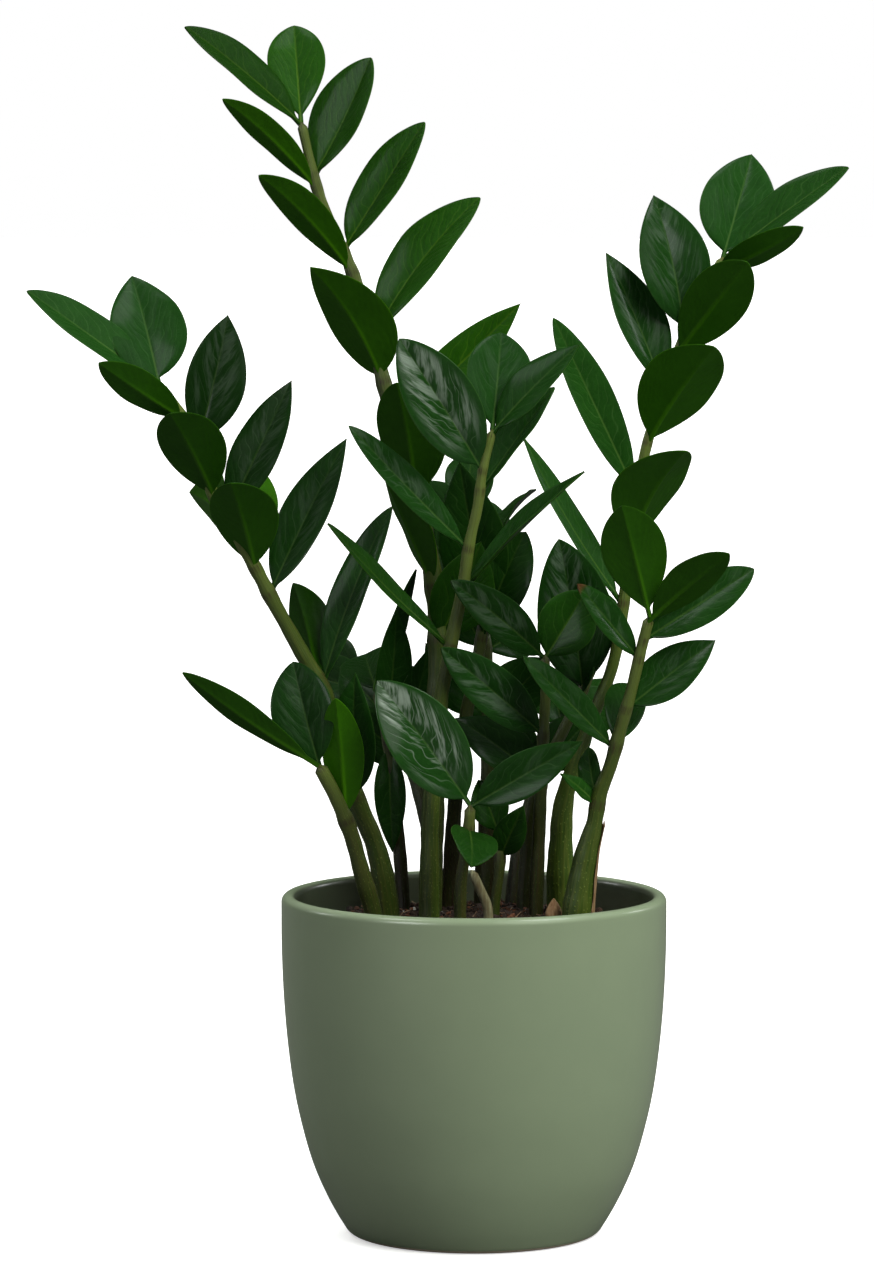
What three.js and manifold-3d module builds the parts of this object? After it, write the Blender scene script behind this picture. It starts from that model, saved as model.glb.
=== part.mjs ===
// Potted ZZ plant: a glazed pot, its soil, and the fronds that grow out of it.
// Millimetres, +Z up. The origin is the centre of the pot's foot, and the front of the plant faces -Y.
import * as THREE from 'three';
import { mergeVertices } from 'three/addons/utils/BufferGeometryUtils.js';
import Module from 'manifold-3d';

const wasm = await Module();
wasm.setup();

// --- Driving dimensions ---------------------------------------------------------------------

const POT_HEIGHT = 168.3;
const POT_WALL = 7.2;
const POT_FLOOR = 9;
const FOOT_RADIUS = 58.5;
const FOOT_ROUND = 6;
const POT_SIDES = 36;

// Outer radius of the pot at a few heights, from the foot to the rim: [height, radius].
const POT_OUTLINE = [
  [10, 68], [20, 73.3], [34, 79.3], [50, 84.1], [70, 88.6], [94, 91.9], [118, 93.9], [143, 94.9], [164.7, 95],
];

// Heights at which the inside of the pot changes slope, up to where the lip starts.
const INSIDE_LEVELS = [14, 34, 70, 118, 164.7];
const FLOOR_RADIUS = 57;

const SOIL_LEVEL = 158.5;
const SOIL_FALL = 9;
const SOIL_RINGS = 5;
const SOIL_LUMP = 1.1;

const GAP = 0.3;
const HOLE_CLEARANCE = 1;
const HOLE_SIDES = 10;
const STALK_FOOT = 128;
const STALK_LEAN = 158;
const STALK_SIDES = 7;
const STALK_STEP = 20;
const NECK = 66;

const BLADE = 1.0;
const PETIOLE_BLADE = 2.4;
const PETIOLE_THINNING = 12;
const PETIOLE_HALF = 1.3;
const PETIOLE_PART = 0.06;
const TIP_HALF = 0.5;
const LEAF_STATIONS = 7;
const LEAF_FOLD = 20;
const LEAF_BOW = 0.05;

// How fast a leaflet widens from its base and from its tip: the lower, the blunter.
const FORMS = {
  heart: [0.52, 0.9],
  pointed: [0.76, 0.98],
  oval: [0.7, 0.74],
  spoon: [0.9, 0.76],
};

// Each frond: the stalk's radius at the soil, above its swollen foot and at the top; where the swelling ends, if
// not at NECK above the soil; the points that the stalk passes through; and its leaflets. A leaflet's row gives
// the height on the stalk where it grows, its length as x, y and z from root to tip, its width, and how far it is
// turned about its own length, in degrees: at 0 its upper face looks to the front, at 180 its underside does. A
// row may go on with the leaflet's form, and with how far its middle bows towards its upper face, as a share of
// its length.
const FRONDS = {
  "frond_left": {
    "radii": [5.6, 4.4, 1.7],
    "stalk": [[-42, -12, 160], [-48, -12, 192], [-58, -14, 217], [-66, -17, 246], [-74, -20, 271], [-85, -22, 291],
      [-98, -26, 315], [-109, -29, 336], [-126, -34, 366], [-139, -38, 402], [-152, -42, 421]],
    "leaves": [
      [421, -14.5, 28, 51.5, 39.5, 12, "heart"], [420, -63.5, -8, 46, 26.5, 50, "oval", 0],
      [404, -39.5, -28, 28, 20, 160, "oval", -0.02], [390, 14.5, 20, 63.5, 31.5, 15, "pointed", 0.045],
      [366, -19.5, -34, 42, 33.5, 165, "oval"], [355, 31, 24, 66.5, 25, -15, "pointed", 0.01],
      [331, -10.5, -36, 43.5, 35, 168, "oval"], [318, 37, 20, 75, 26, -25, "pointed", 0.02],
      [351, 16, 46, 22, 27, 150, "oval"], [357, -18, 42, 9, 30, 150, "oval"],
      [276, -12, 18, 46, 27, 150, "oval"], [272, 34, 10, 88, 22, -38, "oval", 0.045],
      [217, 0, -16, 63, 26, -15],
    ],
  },
  "frond_tall": {
    "radii": [5.6, 5.4, 1.9],
    "stalk": [[-21.5, 8, 160], [-20, 10, 214], [-18, 14, 263], [-17.5, 18, 292], [-20.5, 24, 326], [-28, 30, 361],
      [-37, 35, 390], [-44.5, 40, 418], [-51, 45, 445], [-61.5, 50, 476], [-71, 53, 497], [-78, 56, 515],
      [-86, 60, 548]],
    "leaves": [
      [548, -4, 24, 48.5, 31, 0, "spoon"], [547, -57.5, -8, 48, 24.5, 48, "oval", 0.03],
      [521, 28.5, 6, 59, 38, -46, "oval", -0.03], [515, -46, -22, 44, 16.5, 155, "oval", 0.08],
      [484, 40.5, 10, 64, 29.5, -42, "oval", 0], [473, -45.5, -28, 48.5, 21.5, 155, "oval", 0.09],
      [441, 53, 12, 69.5, 33.5, -42, "oval", 0.065], [419, -35.5, -28, 57.5, 37, 150, "heart", 0.1],
      [396, 62, 8, 62, 25, -10, "pointed", 0], [361, -10, -24, 59, 38, 160, "oval"],
      [318, -24, -8, 55, 26, 125, "oval", 0], [292, 21, -2, 49, 34, 15],
    ],
  },
  "frond_centre": {
    "radii": [4.9, 3.9, 1.6],
    "stalk": [[-22, -22, 160], [-21, -24, 213], [-18, -26, 257], [-14, -28, 281], [-10, -30, 301],
      [-5.5, -32, 323], [-2.6, -34, 343], [1.6, -36, 362], [3.8, -38, 379], [6.2, -39, 389], [8.5, -40, 399]],
    "leaves": [
      [399, 4.5, 22, 46, 34, 5, "oval"], [397, 42, -8, 43, 24, -42, "pointed", 0.03],
      [379, -40, -14, 64, 36, 8, "oval"], [369, 36, 10, 50, 26, -60, "oval", 0],
      [341, -57.5, -12, 60, 18, 30, "oval", -0.015], [321, 58.5, -10, 58, 22, -75, "pointed", 0.02],
      [293, -59, -15, 61, 14.5, 60, "oval", -0.028],
    ],
  },
  "frond_right": {
    "radii": [7.2, 3.2, 1.8],
    "neck": 100,
    "stalk": [[43, 8, 160], [43, 8, 190], [45, 9, 215], [58, 11, 253], [68, 13, 278], [73, 17, 302],
      [76.5, 21, 332], [80, 25, 361], [84.5, 29, 383], [91.5, 33, 408], [102, 38, 436], [112, 42, 460],
      [124, 45, 481]],
    "leaves": [
      [481, 15.5, 28, 51, 41, 0, "heart"], [480, 62.5, 0, 45.5, 28, -52, "oval", 0.005],
      [474, 42, -26, 22, 18, -150, "oval", -0.05], [443, -15, 14, 68.5, 37.5, 12, "pointed", 0.1],
      [433, 33, -34, 46, 32, 180, "oval"], [415.5, -28, 12, 67.5, 30.5, 35, "pointed", 0.02],
      [389.5, 31, -34, 48.5, 41, -158, "oval"], [364, -41, 10, 87, 23, 22, "oval", 0],
      [338, 25.5, -35, 49.5, 41, -143, "oval", 0.08], [310, -49.5, 5, 82.5, 19, 50, "pointed", -0.035],
    ],
  },
  "frond_right_front": {
    "radii": [7.5, 3.4, 1.9],
    "stalk": [[50.5, -25, 160], [54.3, -25, 189], [58.5, -26, 206], [61.2, -27, 221], [66, -29, 234],
      [71, -32, 253], [76, -36, 272], [80, -40, 290], [84.5, -45, 309]],
    "leaves": [
      [309, -14, -10, 54, 33.5, 175, "spoon"], [307, 37.5, -25, 34, 22, -160, "oval", 0.03],
      [297, 54, 10, 34, 25, -20, "oval", 0.01],
      [263, 43.5, 6, 33, 26, -22, "pointed", 0.02], [288, -30, -12, 37, 17, 35, "oval", 0],
      [245, 7, 45, 26, 22, 0, "oval"], [243, -45, -10, 46, 18, 35, "oval", 0],
      [216, -4, 14, 26, 14, -30, "oval"], [215, -18, -3, 16, 9, 40],
    ],
  },
  "frond_small_front": {
    "radii": [3.1, 2.7, 2.0],
    "stalk": [[-7, -45, 160], [-6.5, -46, 180], [-3, -48, 203], [-2.2, -50, 218]],
    "leaves": [
      [218, -44.5, -10, 61, 38, 12, "oval"], [217, 54, -8, 32.5, 23, -10, "pointed", 0.03],
      [206, 1, -33, -14, 26, -25, "oval"],
    ],
  },
  "frond_left_front": {
    "radii": [4.3, 3.4, 2.1],
    "stalk": [[-49, -28, 160], [-55.5, -32, 185], [-60, -35, 202], [-67, -40, 220], [-75.5, -46, 237]],
    "leaves": [
      [237, -65, -12, 46, 16, 152, "spoon", -0.03], [236, -13, 12, 50, 33, -10, "oval"],
      [209, -4.5, -22, 61.5, 22, 170, "oval"],
    ],
  },
  "frond_centre_right": {
    "radii": [3.7, 3.2, 1.8],
    "stalk": [[30.5, -8, 160], [32, -9, 201], [33, -10, 226], [34, -12, 251], [35, -14, 270], [34.5, -16, 288]],
    "leaves": [
      [248, -50, -26, 45, 25, 10, "oval"], [286, -46, -26, 40, 22, 20, "oval"],
      [286, 20, 3, 33, 30, 0, "oval"], [225, -42, 12, 30, 28, 30],
    ],
  },
  "frond_inner_right": {
    "radii": [3.4, 3.0, 1.8],
    "stalk": [[25, 22, 160], [28, 24, 200], [35, 26, 227], [45, 28, 247], [53.5, 30, 264], [62, 32, 286]],
    "leaves": [
      [266, -12.5, -27, 77, 41, 10, "oval"], [262, 9, 2, 29, 18, -50], [286, -8, 34, 28, 32, 10],
      [277, -4, 50, 16, 28, 0],
    ],
  },
  "frond_inner_left": {
    "radii": [3.6, 3.2, 1.8],
    "stalk": [[-35, 26, 160], [-37.5, 27, 194], [-40, 29, 222], [-43.5, 31, 246], [-48.5, 33, 266]],
    "leaves": [
      [265, 20, 2, 61, 20, 60, "heart", -0.05], [246, 5, 2, 60, 20, 15], [226, 18, 9, 60, 26, 20],
      [240, 2, -8, -54, 17, 0], [266, -6, 46, 14, 30, 0],
    ],
  },
  "frond_inner_back": {
    "radii": [3.9, 3.5, 1.8],
    "stalk": [[-12, 20, 160], [-9, 25, 213], [-4, 30, 252], [2, 36, 281], [7, 44, 310], [10, 52, 330], [13, 62, 344]],
    "leaves": [
      [303, -13, -17, 77, 36, 0], [291, 22, -6, 54, 32, -15, "spoon", 0.1], [343, 19, 30, 20, 16, -80],
      [296, -24, 12, 40, 28, 15], [336, -12, 46, 6, 28, 0], [318, -26, 38, 14, 30, 20],
      [325, 16, 40, 2, 28, -20],
    ],
  },
  "frond_back": {
    "radii": [4.8, 4.0, 1.8],
    "stalk": [[5, 38, 160], [7, 46, 200], [8, 60, 245], [6, 78, 285], [2, 98, 320], [-4, 116, 346]],
    "leaves": [
      [248, -32, 12, 38, 30, 10], [248, 30, 16, 30, 30, -10], [282, -22, 18, 36, 29, 10],
      [282, 24, 30, 10, 28, -10], [312, -34, 22, 32, 30, 10], [312, 22, 30, 16, 29, -10],
      [336, -30, 26, 28, 28, 10], [336, 20, 34, 10, 27, -10], [346, 4, 34, 34, 27, 0],
    ],
  },
  "frond_back_left": {
    "radii": [4.2, 3.6, 1.8],
    "stalk": [[-18, 38, 160], [-22, 46, 192], [-30, 60, 222], [-42, 82, 246], [-56, 106, 262]],
    "leaves": [
      [226, -30, 2, 24, 28, 20], [226, 6, 34, 30, 28, 0], [245, -26, 14, 26, 30, 20],
      [245, 18, 34, 24, 30, 0], [262, -22, 40, 14, 30, 0], [258, -36, 24, 8, 29, 20],
    ],
  },
  "frond_back_right": {
    "radii": [4.0, 3.4, 1.8],
    "stalk": [[20, 42, 160], [25, 50, 192], [34, 64, 220], [46, 84, 240], [58, 104, 250]],
    "leaves": [
      [222, 26, -2, 28, 28, -20], [222, -24, 30, 20, 28, 0], [240, 30, 10, 18, 29, -20],
      [240, -6, 36, 28, 29, 0], [250, 0, 44, 10, 31, 0],
    ],
  },
  "frond_sprout": {
    "radii": [2.6, 2.3, 1.7],
    "stalk": [[10, -8, 160], [13, -9, 187], [12, -8, 200]],
    "leaves": [
      [187, 11, -10, 27, 17, -10], [199, -10, 6, 26, 20, 10],
    ],
  },
};

// The dry stub of a cut stalk is a stalk with no leaflets.
const STUB = { radii: [2.3, 2.2, 1.9], stalk: [[6.5, -22, 164], [2.5, -23, 174], [-1.5, -24, 183]], leaves: [] };

const SHEATH_LOW = 160.5;
const SHEATH_HIGH = 206;
const SHEATH_STATIONS = 6;
const SHEATH_WALL = 0.7;
const SHEATH_CLEARANCE = 0.7;
const SHEATH_CURL = 1.4;
const SHEATH_REACH = 48;
const SHEATH_NARROWING = 0.55;
const SHEATH_MIDDLE = 0.25;
const BUD_PLACE = [39, -17];
const BUD_OUTLINE = [[0, 0], [3.4, 0.6], [4.1, 2.8], [3.1, 6], [1.2, 9], [0, 10.4]];
const BUD_SIDES = 10;
const BUD_FLATNESS = 0.6;
const BUD_SINK = 0.35;

const GLAZE = { color: 0x6f7d64, roughness: 0.32, metalness: 0 };
const SOIL = { color: 0x2b211a, roughness: 0.95, metalness: 0 };
const LEAF = { color: 0x1f4a1c, roughness: 0.35, metalness: 0 };
const DRY = { color: 0x9a8460, roughness: 0.8, metalness: 0 };

// --- Solids ---------------------------------------------------------------------------------

function toSolid(geometry) {
  const plain = geometry.clone();
  plain.deleteAttribute('normal');
  plain.deleteAttribute('uv');
  const merged = mergeVertices(plain, 1e-4);
  return new wasm.Manifold(new wasm.Mesh({
    numProp: 3,
    vertProperties: new Float32Array(merged.attributes.position.array),
    triVerts: new Uint32Array(merged.index.array),
  }));
}

function toGeometry(solid) {
  const mesh = solid.getMesh();
  const geometry = new THREE.BufferGeometry();
  const positions = new Float32Array(mesh.numVert * 3);
  for (let i = 0; i < mesh.numVert; i += 1) {
    for (let k = 0; k < 3; k += 1) {
      positions[i * 3 + k] = mesh.vertProperties[i * mesh.numProp + k];
    }
  }
  geometry.setAttribute('position', new THREE.BufferAttribute(positions, 3));
  geometry.setIndex(new THREE.BufferAttribute(new Uint32Array(mesh.triVerts), 1));
  geometry.computeVertexNormals();
  return geometry;
}

function fuse(geometries) {
  return geometries.map(toSolid).reduce((whole, piece) => whole.add(piece));
}

function node(name, geometry, look) {
  const mesh = new THREE.Mesh(geometry, new THREE.MeshStandardMaterial(look));
  mesh.name = name;
  return mesh;
}

// A closed skin over rings of points. The strips listed in `flipped` take their other diagonal, so that the
// two faces of a thin blade are split alike. `cap` lists the triangles that close an end ring.
function skin(rings, cap, flipped = []) {
  const count = rings[0].length;
  const positions = rings.flat().flatMap((point) => [point.x, point.y, point.z]);
  const index = [];
  for (let i = 0; i + 1 < rings.length; i += 1) {
    for (let j = 0; j < count; j += 1) {
      const a = i * count + j;
      const b = i * count + ((j + 1) % count);
      const c = a + count;
      const d = b + count;
      if (flipped.includes(j)) {
        index.push(a, b, c, b, d, c);
      } else {
        index.push(a, b, d, a, d, c);
      }
    }
  }
  const last = (rings.length - 1) * count;
  for (const [a, b, c] of cap) {
    index.push(a, c, b, last + a, last + b, last + c);
  }
  const geometry = new THREE.BufferGeometry();
  geometry.setAttribute('position', new THREE.BufferAttribute(new Float32Array(positions), 3));
  geometry.setIndex(index);
  return geometry;
}

function fan(count) {
  return Array.from({ length: count - 2 }, (_, i) => [0, i + 1, i + 2]);
}

// --- Pot and soil ---------------------------------------------------------------------------

function arc(cx, cy, radius, from, to, steps) {
  return Array.from({ length: steps + 1 }, (_, i) => {
    const angle = THREE.MathUtils.degToRad(from + ((to - from) * i) / steps);
    return new THREE.Vector2(cx + radius * Math.cos(angle), cy + radius * Math.sin(angle));
  });
}

function radiusAt(outline, height) {
  const next = Math.max(1, outline.findIndex(([z]) => z >= height));
  const [z0, r0] = outline[next - 1];
  const [z1, r1] = outline[next];
  return r0 + ((r1 - r0) * (height - z0)) / (z1 - z0);
}

// The pot's inner wall follows its outside at the wall's thickness, in fewer steps.
const INSIDE_OUTLINE = INSIDE_LEVELS.map((z) => [z, radiusAt(POT_OUTLINE, z) - POT_WALL]);

function innerRadius(height) {
  return radiusAt(INSIDE_OUTLINE, height);
}

function makePot() {
  const lip = POT_WALL / 2;
  const rim = POT_OUTLINE[POT_OUTLINE.length - 1][1];
  const outline = [
    new THREE.Vector2(0, 0),
    ...arc(FOOT_RADIUS, FOOT_ROUND, FOOT_ROUND, -90, -28, 3),
    ...POT_OUTLINE.map(([z, r]) => new THREE.Vector2(r, z)),
    ...arc(rim - lip, POT_HEIGHT - lip, lip, 0, 180, 6).slice(1, -1),
    ...INSIDE_OUTLINE.map(([z, r]) => new THREE.Vector2(r, z)).reverse(),
    new THREE.Vector2(FLOOR_RADIUS, POT_FLOOR),
    new THREE.Vector2(0, POT_FLOOR),
  ];
  const geometry = new THREE.LatheGeometry(outline, POT_SIDES);
  geometry.rotateX(Math.PI / 2);
  return toGeometry(toSolid(geometry));
}

// The top of the soil: a low mound with soft lumps.
function soilHeight(x, y) {
  const r = Math.hypot(x, y) / innerRadius(SOIL_LEVEL);
  const lumps = Math.sin(x * 0.31 + 1.3) * Math.cos(y * 0.27 - 0.6) + 0.6 * Math.sin(x * 0.13 - y * 0.19);
  return SOIL_LEVEL - SOIL_FALL * r ** 3 + SOIL_LUMP * lumps * (1 - 0.5 * r);
}

function makeSoil(fronds) {
  const rings = [];
  const turn = (j) => (j / POT_SIDES) * Math.PI * 2;
  const level = (radius, z) => Array.from({ length: POT_SIDES }, (_, j) => (
    new THREE.Vector3(radius * Math.cos(turn(j)), radius * Math.sin(turn(j)), z)
  ));
  const clear = GAP / Math.cos(Math.PI / POT_SIDES) + 0.05;
  rings.push(level(FLOOR_RADIUS - clear, POT_FLOOR + GAP));
  for (const [z, radius] of INSIDE_OUTLINE.slice(0, -1)) {
    rings.push(level(radius - clear, z));
  }
  for (let i = SOIL_RINGS; i > 0; i -= 1) {
    const radius = ((innerRadius(SOIL_LEVEL - SOIL_FALL) - clear) * i) / SOIL_RINGS;
    rings.push(level(radius, 0).map((p) => new THREE.Vector3(p.x, p.y, soilHeight(p.x, p.y))));
  }
  let solid = toSolid(skin(rings, fan(POT_SIDES)));
  for (const frond of [...Object.values(fronds), STUB]) {
    const [x, y] = frond.stalk[0];
    solid = solid.subtract(stemHole(x, y, frond.radii[0] + HOLE_CLEARANCE));
  }
  return solid;
}

function stemHole(x, y, radius) {
  const depth = POT_HEIGHT - (STALK_FOOT - GAP);
  const hole = new THREE.CylinderGeometry(radius, radius, depth, HOLE_SIDES);
  hole.rotateX(Math.PI / 2);
  hole.translate(x, y, STALK_FOOT - GAP + depth / 2);
  return toSolid(hole);
}

// --- Small dry pieces -----------------------------------------------------------------------

// The papery sheath that still hugs the right side of the thick right-front stalk.
function makeSheath(frond) {
  const curve = stalkCurve(frond);
  const length = curve.getLength();
  const rings = [];
  for (let i = 0; i < SHEATH_STATIONS; i += 1) {
    const part = i / (SHEATH_STATIONS - 1);
    const centre = pointAtHeight(curve, SHEATH_LOW + (SHEATH_HIGH - SHEATH_LOW) * part);
    const loose = SHEATH_CLEARANCE + SHEATH_CURL * part ** 3;
    const radius = stalkRadius(frond, centre.z - STALK_FOOT, length) + loose;
    const reach = THREE.MathUtils.degToRad(SHEATH_REACH * (1 - SHEATH_NARROWING * part ** 2));
    const wall = (shell, angle) => new THREE.Vector3(
      centre.x + shell * Math.cos(angle), centre.y + shell * Math.sin(angle), centre.z,
    );
    rings.push([
      ...[-1, -0.33, 0.33, 1].map((side) => wall(radius + SHEATH_WALL, SHEATH_MIDDLE + side * reach)),
      ...[1, 0.33, -0.33, -1].map((side) => wall(radius, SHEATH_MIDDLE + side * reach)),
    ]);
  }
  return skin(rings, [[0, 1, 6], [0, 6, 7], [1, 2, 5], [1, 5, 6], [2, 3, 4], [2, 4, 5]], [4, 5, 6]);
}

// The tan scale of a bulb that shows on the soil.
function makeBudScale() {
  const [x, y] = BUD_PLACE;
  const bud = new THREE.LatheGeometry(BUD_OUTLINE.map(([r, z]) => new THREE.Vector2(r, z)), BUD_SIDES);
  bud.rotateX(Math.PI / 2);
  bud.scale(1, BUD_FLATNESS, 1);
  bud.translate(x, y, soilHeight(x, y) - BUD_SINK);
  return bud;
}

// --- Fronds ---------------------------------------------------------------------------------

function stalkCurve(frond) {
  const [x, y] = frond.stalk[0];
  const points = frond.stalk.map(([px, py, pz]) => new THREE.Vector3(px, py, pz));
  return new THREE.CatmullRomCurve3([
    new THREE.Vector3(x, y, STALK_FOOT), new THREE.Vector3(x, y, (STALK_FOOT + STALK_LEAN) / 2), ...points,
  ], false, 'centripetal');
}

function stalkRadius(frond, along, length) {
  const [foot, slim, top] = frond.radii;
  const neck = frond.neck ?? NECK;
  const rise = along - (STALK_LEAN - STALK_FOOT);
  const swell = rise < neck ? Math.cos((Math.PI / 2) * Math.max(0, rise / neck)) ** 2 : 0;
  const taper = Math.max(0, rise - neck) / (length - neck);
  return slim + (foot - slim) * swell + (top - slim) * taper;
}

function pointAtHeight(curve, height) {
  let low = 0;
  let high = 1;
  for (let i = 0; i < 24; i += 1) {
    const middle = (low + high) / 2;
    if (curve.getPointAt(middle).z < height) {
      low = middle;
    } else {
      high = middle;
    }
  }
  return curve.getPointAt(low);
}

function makeStalk(frond, curve) {
  const length = curve.getLength();
  const steps = Math.ceil(length / STALK_STEP);
  const rings = [];
  for (let i = 0; i <= steps; i += 1) {
    const t = i / steps;
    const centre = curve.getPointAt(t);
    const along = curve.getTangentAt(t);
    const side = new THREE.Vector3(0, 1, 0).cross(along).normalize();
    const front = new THREE.Vector3().crossVectors(along, side);
    const radius = stalkRadius(frond, t * length, length);
    rings.push(Array.from({ length: STALK_SIDES }, (_, j) => {
      const angle = (j / STALK_SIDES) * Math.PI * 2;
      return centre.clone()
        .addScaledVector(side, radius * Math.cos(angle))
        .addScaledVector(front, radius * Math.sin(angle));
    }));
  }
  return skin(rings, fan(STALK_SIDES));
}

// Half the width of a leaflet at a part of its blade's length, as a share of its widest.
function leafShape(part, [base, tip]) {
  const widest = base / (base + tip);
  const peak = widest ** base * (1 - widest) ** tip;
  return (Math.max(0, part) ** base * Math.max(0, 1 - part) ** tip) / peak;
}

// The direction of a leaflet, its upper face's normal, and the direction across it.
function leafAxes(reach, turn) {
  const along = reach.clone().normalize();
  const front = new THREE.Vector3(0, -1, 0);
  const face = front.addScaledVector(along, -front.dot(along)).normalize();
  face.applyAxisAngle(along, THREE.MathUtils.degToRad(turn));
  const across = new THREE.Vector3().crossVectors(face, along);
  return { along, face, across };
}

function makeLeaf(curve, [height, dx, dy, dz, width, turn, form = 'pointed', bow = LEAF_BOW]) {
  const root = pointAtHeight(curve, height);
  const reach = new THREE.Vector3(dx, dy, dz);
  const length = reach.length();
  const { along, face, across } = leafAxes(reach, turn);
  const fold = THREE.MathUtils.degToRad(LEAF_FOLD);
  const rings = [];
  for (let i = 0; i < LEAF_STATIONS; i += 1) {
    const part = (1 - Math.cos((Math.PI * i) / (LEAF_STATIONS - 1))) / 2;
    const blade = (part - PETIOLE_PART) / (1 - PETIOLE_PART);
    const least = i === LEAF_STATIONS - 1 ? TIP_HALF : PETIOLE_HALF;
    const half = Math.max(least, (width / 2) * leafShape(blade, FORMS[form]));
    const thick = Math.max(BLADE, PETIOLE_BLADE - part * PETIOLE_THINNING);
    const middle = root.clone()
      .addScaledVector(along, length * part)
      .addScaledVector(face, bow * length * 4 * part * (1 - part));
    const place = (side, lift) => middle.clone()
      .addScaledVector(across, side * half * Math.cos(fold))
      .addScaledVector(face, Math.abs(side) * half * Math.sin(fold) + lift);
    rings.push([
      place(1, 0), place(0, 0), place(-1, 0), place(-1, -thick), place(0, -thick), place(1, -thick),
    ]);
  }
  return skin(rings, [[0, 1, 4], [0, 4, 5], [1, 2, 3], [1, 3, 4]], [3, 4]);
}

function makeFrond(frond) {
  const curve = stalkCurve(frond);
  return fuse([makeStalk(frond, curve), ...frond.leaves.map((row) => makeLeaf(curve, row))]);
}

// --- The whole plant ------------------------------------------------------------------------

const plant = new THREE.Group();
plant.add(node('pot', makePot(), GLAZE));
plant.add(node('soil', toGeometry(makeSoil(FRONDS)), SOIL));
for (const [name, frond] of Object.entries(FRONDS)) {
  plant.add(node(name, toGeometry(makeFrond(frond)), LEAF));
}

plant.add(node('sheath_leaf', toGeometry(toSolid(makeSheath(FRONDS.frond_right_front))), DRY));
plant.add(node('stub', toGeometry(makeFrond(STUB)), DRY));
plant.add(node('bud_scale', toGeometry(toSolid(makeBudScale())), DRY));

export default plant;
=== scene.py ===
"""Potted ZZ plant: the looks of its pot, soil, fronds and dry pieces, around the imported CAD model.

Lengths in the tables are millimetres, as in the part's own source, and MM turns them into metres. The
front of the plant faces -Y, and the origin is the centre of the pot's foot.
"""

import math

import bmesh
import bpy
import numpy as np
from bpy.props import FloatProperty, FloatVectorProperty, IntProperty, PointerProperty
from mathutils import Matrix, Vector, noise


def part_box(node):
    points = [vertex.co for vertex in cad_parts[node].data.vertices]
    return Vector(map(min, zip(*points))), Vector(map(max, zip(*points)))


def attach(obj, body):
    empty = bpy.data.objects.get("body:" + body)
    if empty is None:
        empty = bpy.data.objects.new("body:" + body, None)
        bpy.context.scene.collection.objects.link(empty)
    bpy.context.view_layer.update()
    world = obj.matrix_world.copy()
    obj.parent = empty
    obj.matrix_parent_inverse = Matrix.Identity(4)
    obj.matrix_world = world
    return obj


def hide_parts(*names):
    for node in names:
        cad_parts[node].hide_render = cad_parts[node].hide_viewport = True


bl_info = {
    "name": "Potted ZZ plant",
    "version": (1, 0, 0),
    "blender": (4, 5, 0),
    "location": "3D View > Sidebar > ZZ plant",
    "description": "Builds a ZZ plant in a glazed pot around its CAD model",
    "category": "Add Mesh",
}

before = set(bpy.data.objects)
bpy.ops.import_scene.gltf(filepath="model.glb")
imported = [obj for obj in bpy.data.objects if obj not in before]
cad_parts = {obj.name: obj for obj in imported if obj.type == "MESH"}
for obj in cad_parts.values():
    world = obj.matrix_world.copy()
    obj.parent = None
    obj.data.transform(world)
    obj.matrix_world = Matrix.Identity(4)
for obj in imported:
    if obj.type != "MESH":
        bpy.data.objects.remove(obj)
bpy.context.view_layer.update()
MM = 0.001

# --- Driving dimensions, in millimetres and degrees -----------------------------------------

POT_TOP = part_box("pot")[1]
POT_HEIGHT = POT_TOP.z / MM
RIM_RADIUS = POT_TOP.x / MM
POT_WALL = 7.2
POT_FLOOR = 9
FLOOR_RADIUS = 57
FLOOR_CORNER = 3

FOOT_RADIUS = 58.5
FOOT_ROUND = 6
FOOT_ROUND_END = -28
FOOT_RING = 5
FOOT_HOLLOW = 1.2
FOOT_SLOPE = 2

# Below BARE_CLAY the pot has no glaze, its top LIP_PALE is coloured paler, and the painted shade that
# darkens its inside begins LIP_INSIDE in from its outline.
BARE_CLAY = 1.74
LIP_INSIDE = 5.5
LIP_PALE = 4

# Outer radius of the pot at a few heights, from the foot to the rim: [height, radius].
POT_OUTLINE = [
    [10, 68], [20, 73.3], [34, 79.3], [50, 84.1], [70, 88.6], [94, 91.9], [118, 93.9], [143, 94.9],
    [POT_HEIGHT - POT_WALL / 2, RIM_RADIUS],
]
INSIDE_LEVELS = [14, 34, 70, 118]

SOIL_LEVEL = 158.5
SOIL_FALL = 9
SOIL_LUMP = 1.1
SOIL_GAP = 0.4
SOIL_FLOOR_RADIUS = FLOOR_RADIUS - 4
SOIL_WALL_LEVELS = [14, 40, 80, 120]

STALK_FOOT = 128
STALK_LEAN = 158
NECK = 66

PETIOLE_BLADE = 2.4
PETIOLE_THINNING = 12
PETIOLE_HALF = 1.3
PETIOLE_PART = 0.06
LEAF_FOLD = 20
LEAF_BOW = 0.05
LEAF_DEFAULTS = ["pointed", LEAF_BOW]

# How fast a leaflet widens from its base and from its tip: the lower, the blunter.
FORMS = {
    "heart": [0.52, 0.9],
    "pointed": [0.76, 0.98],
    "oval": [0.7, 0.74],
    "spoon": [0.9, 0.76],
}

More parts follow.
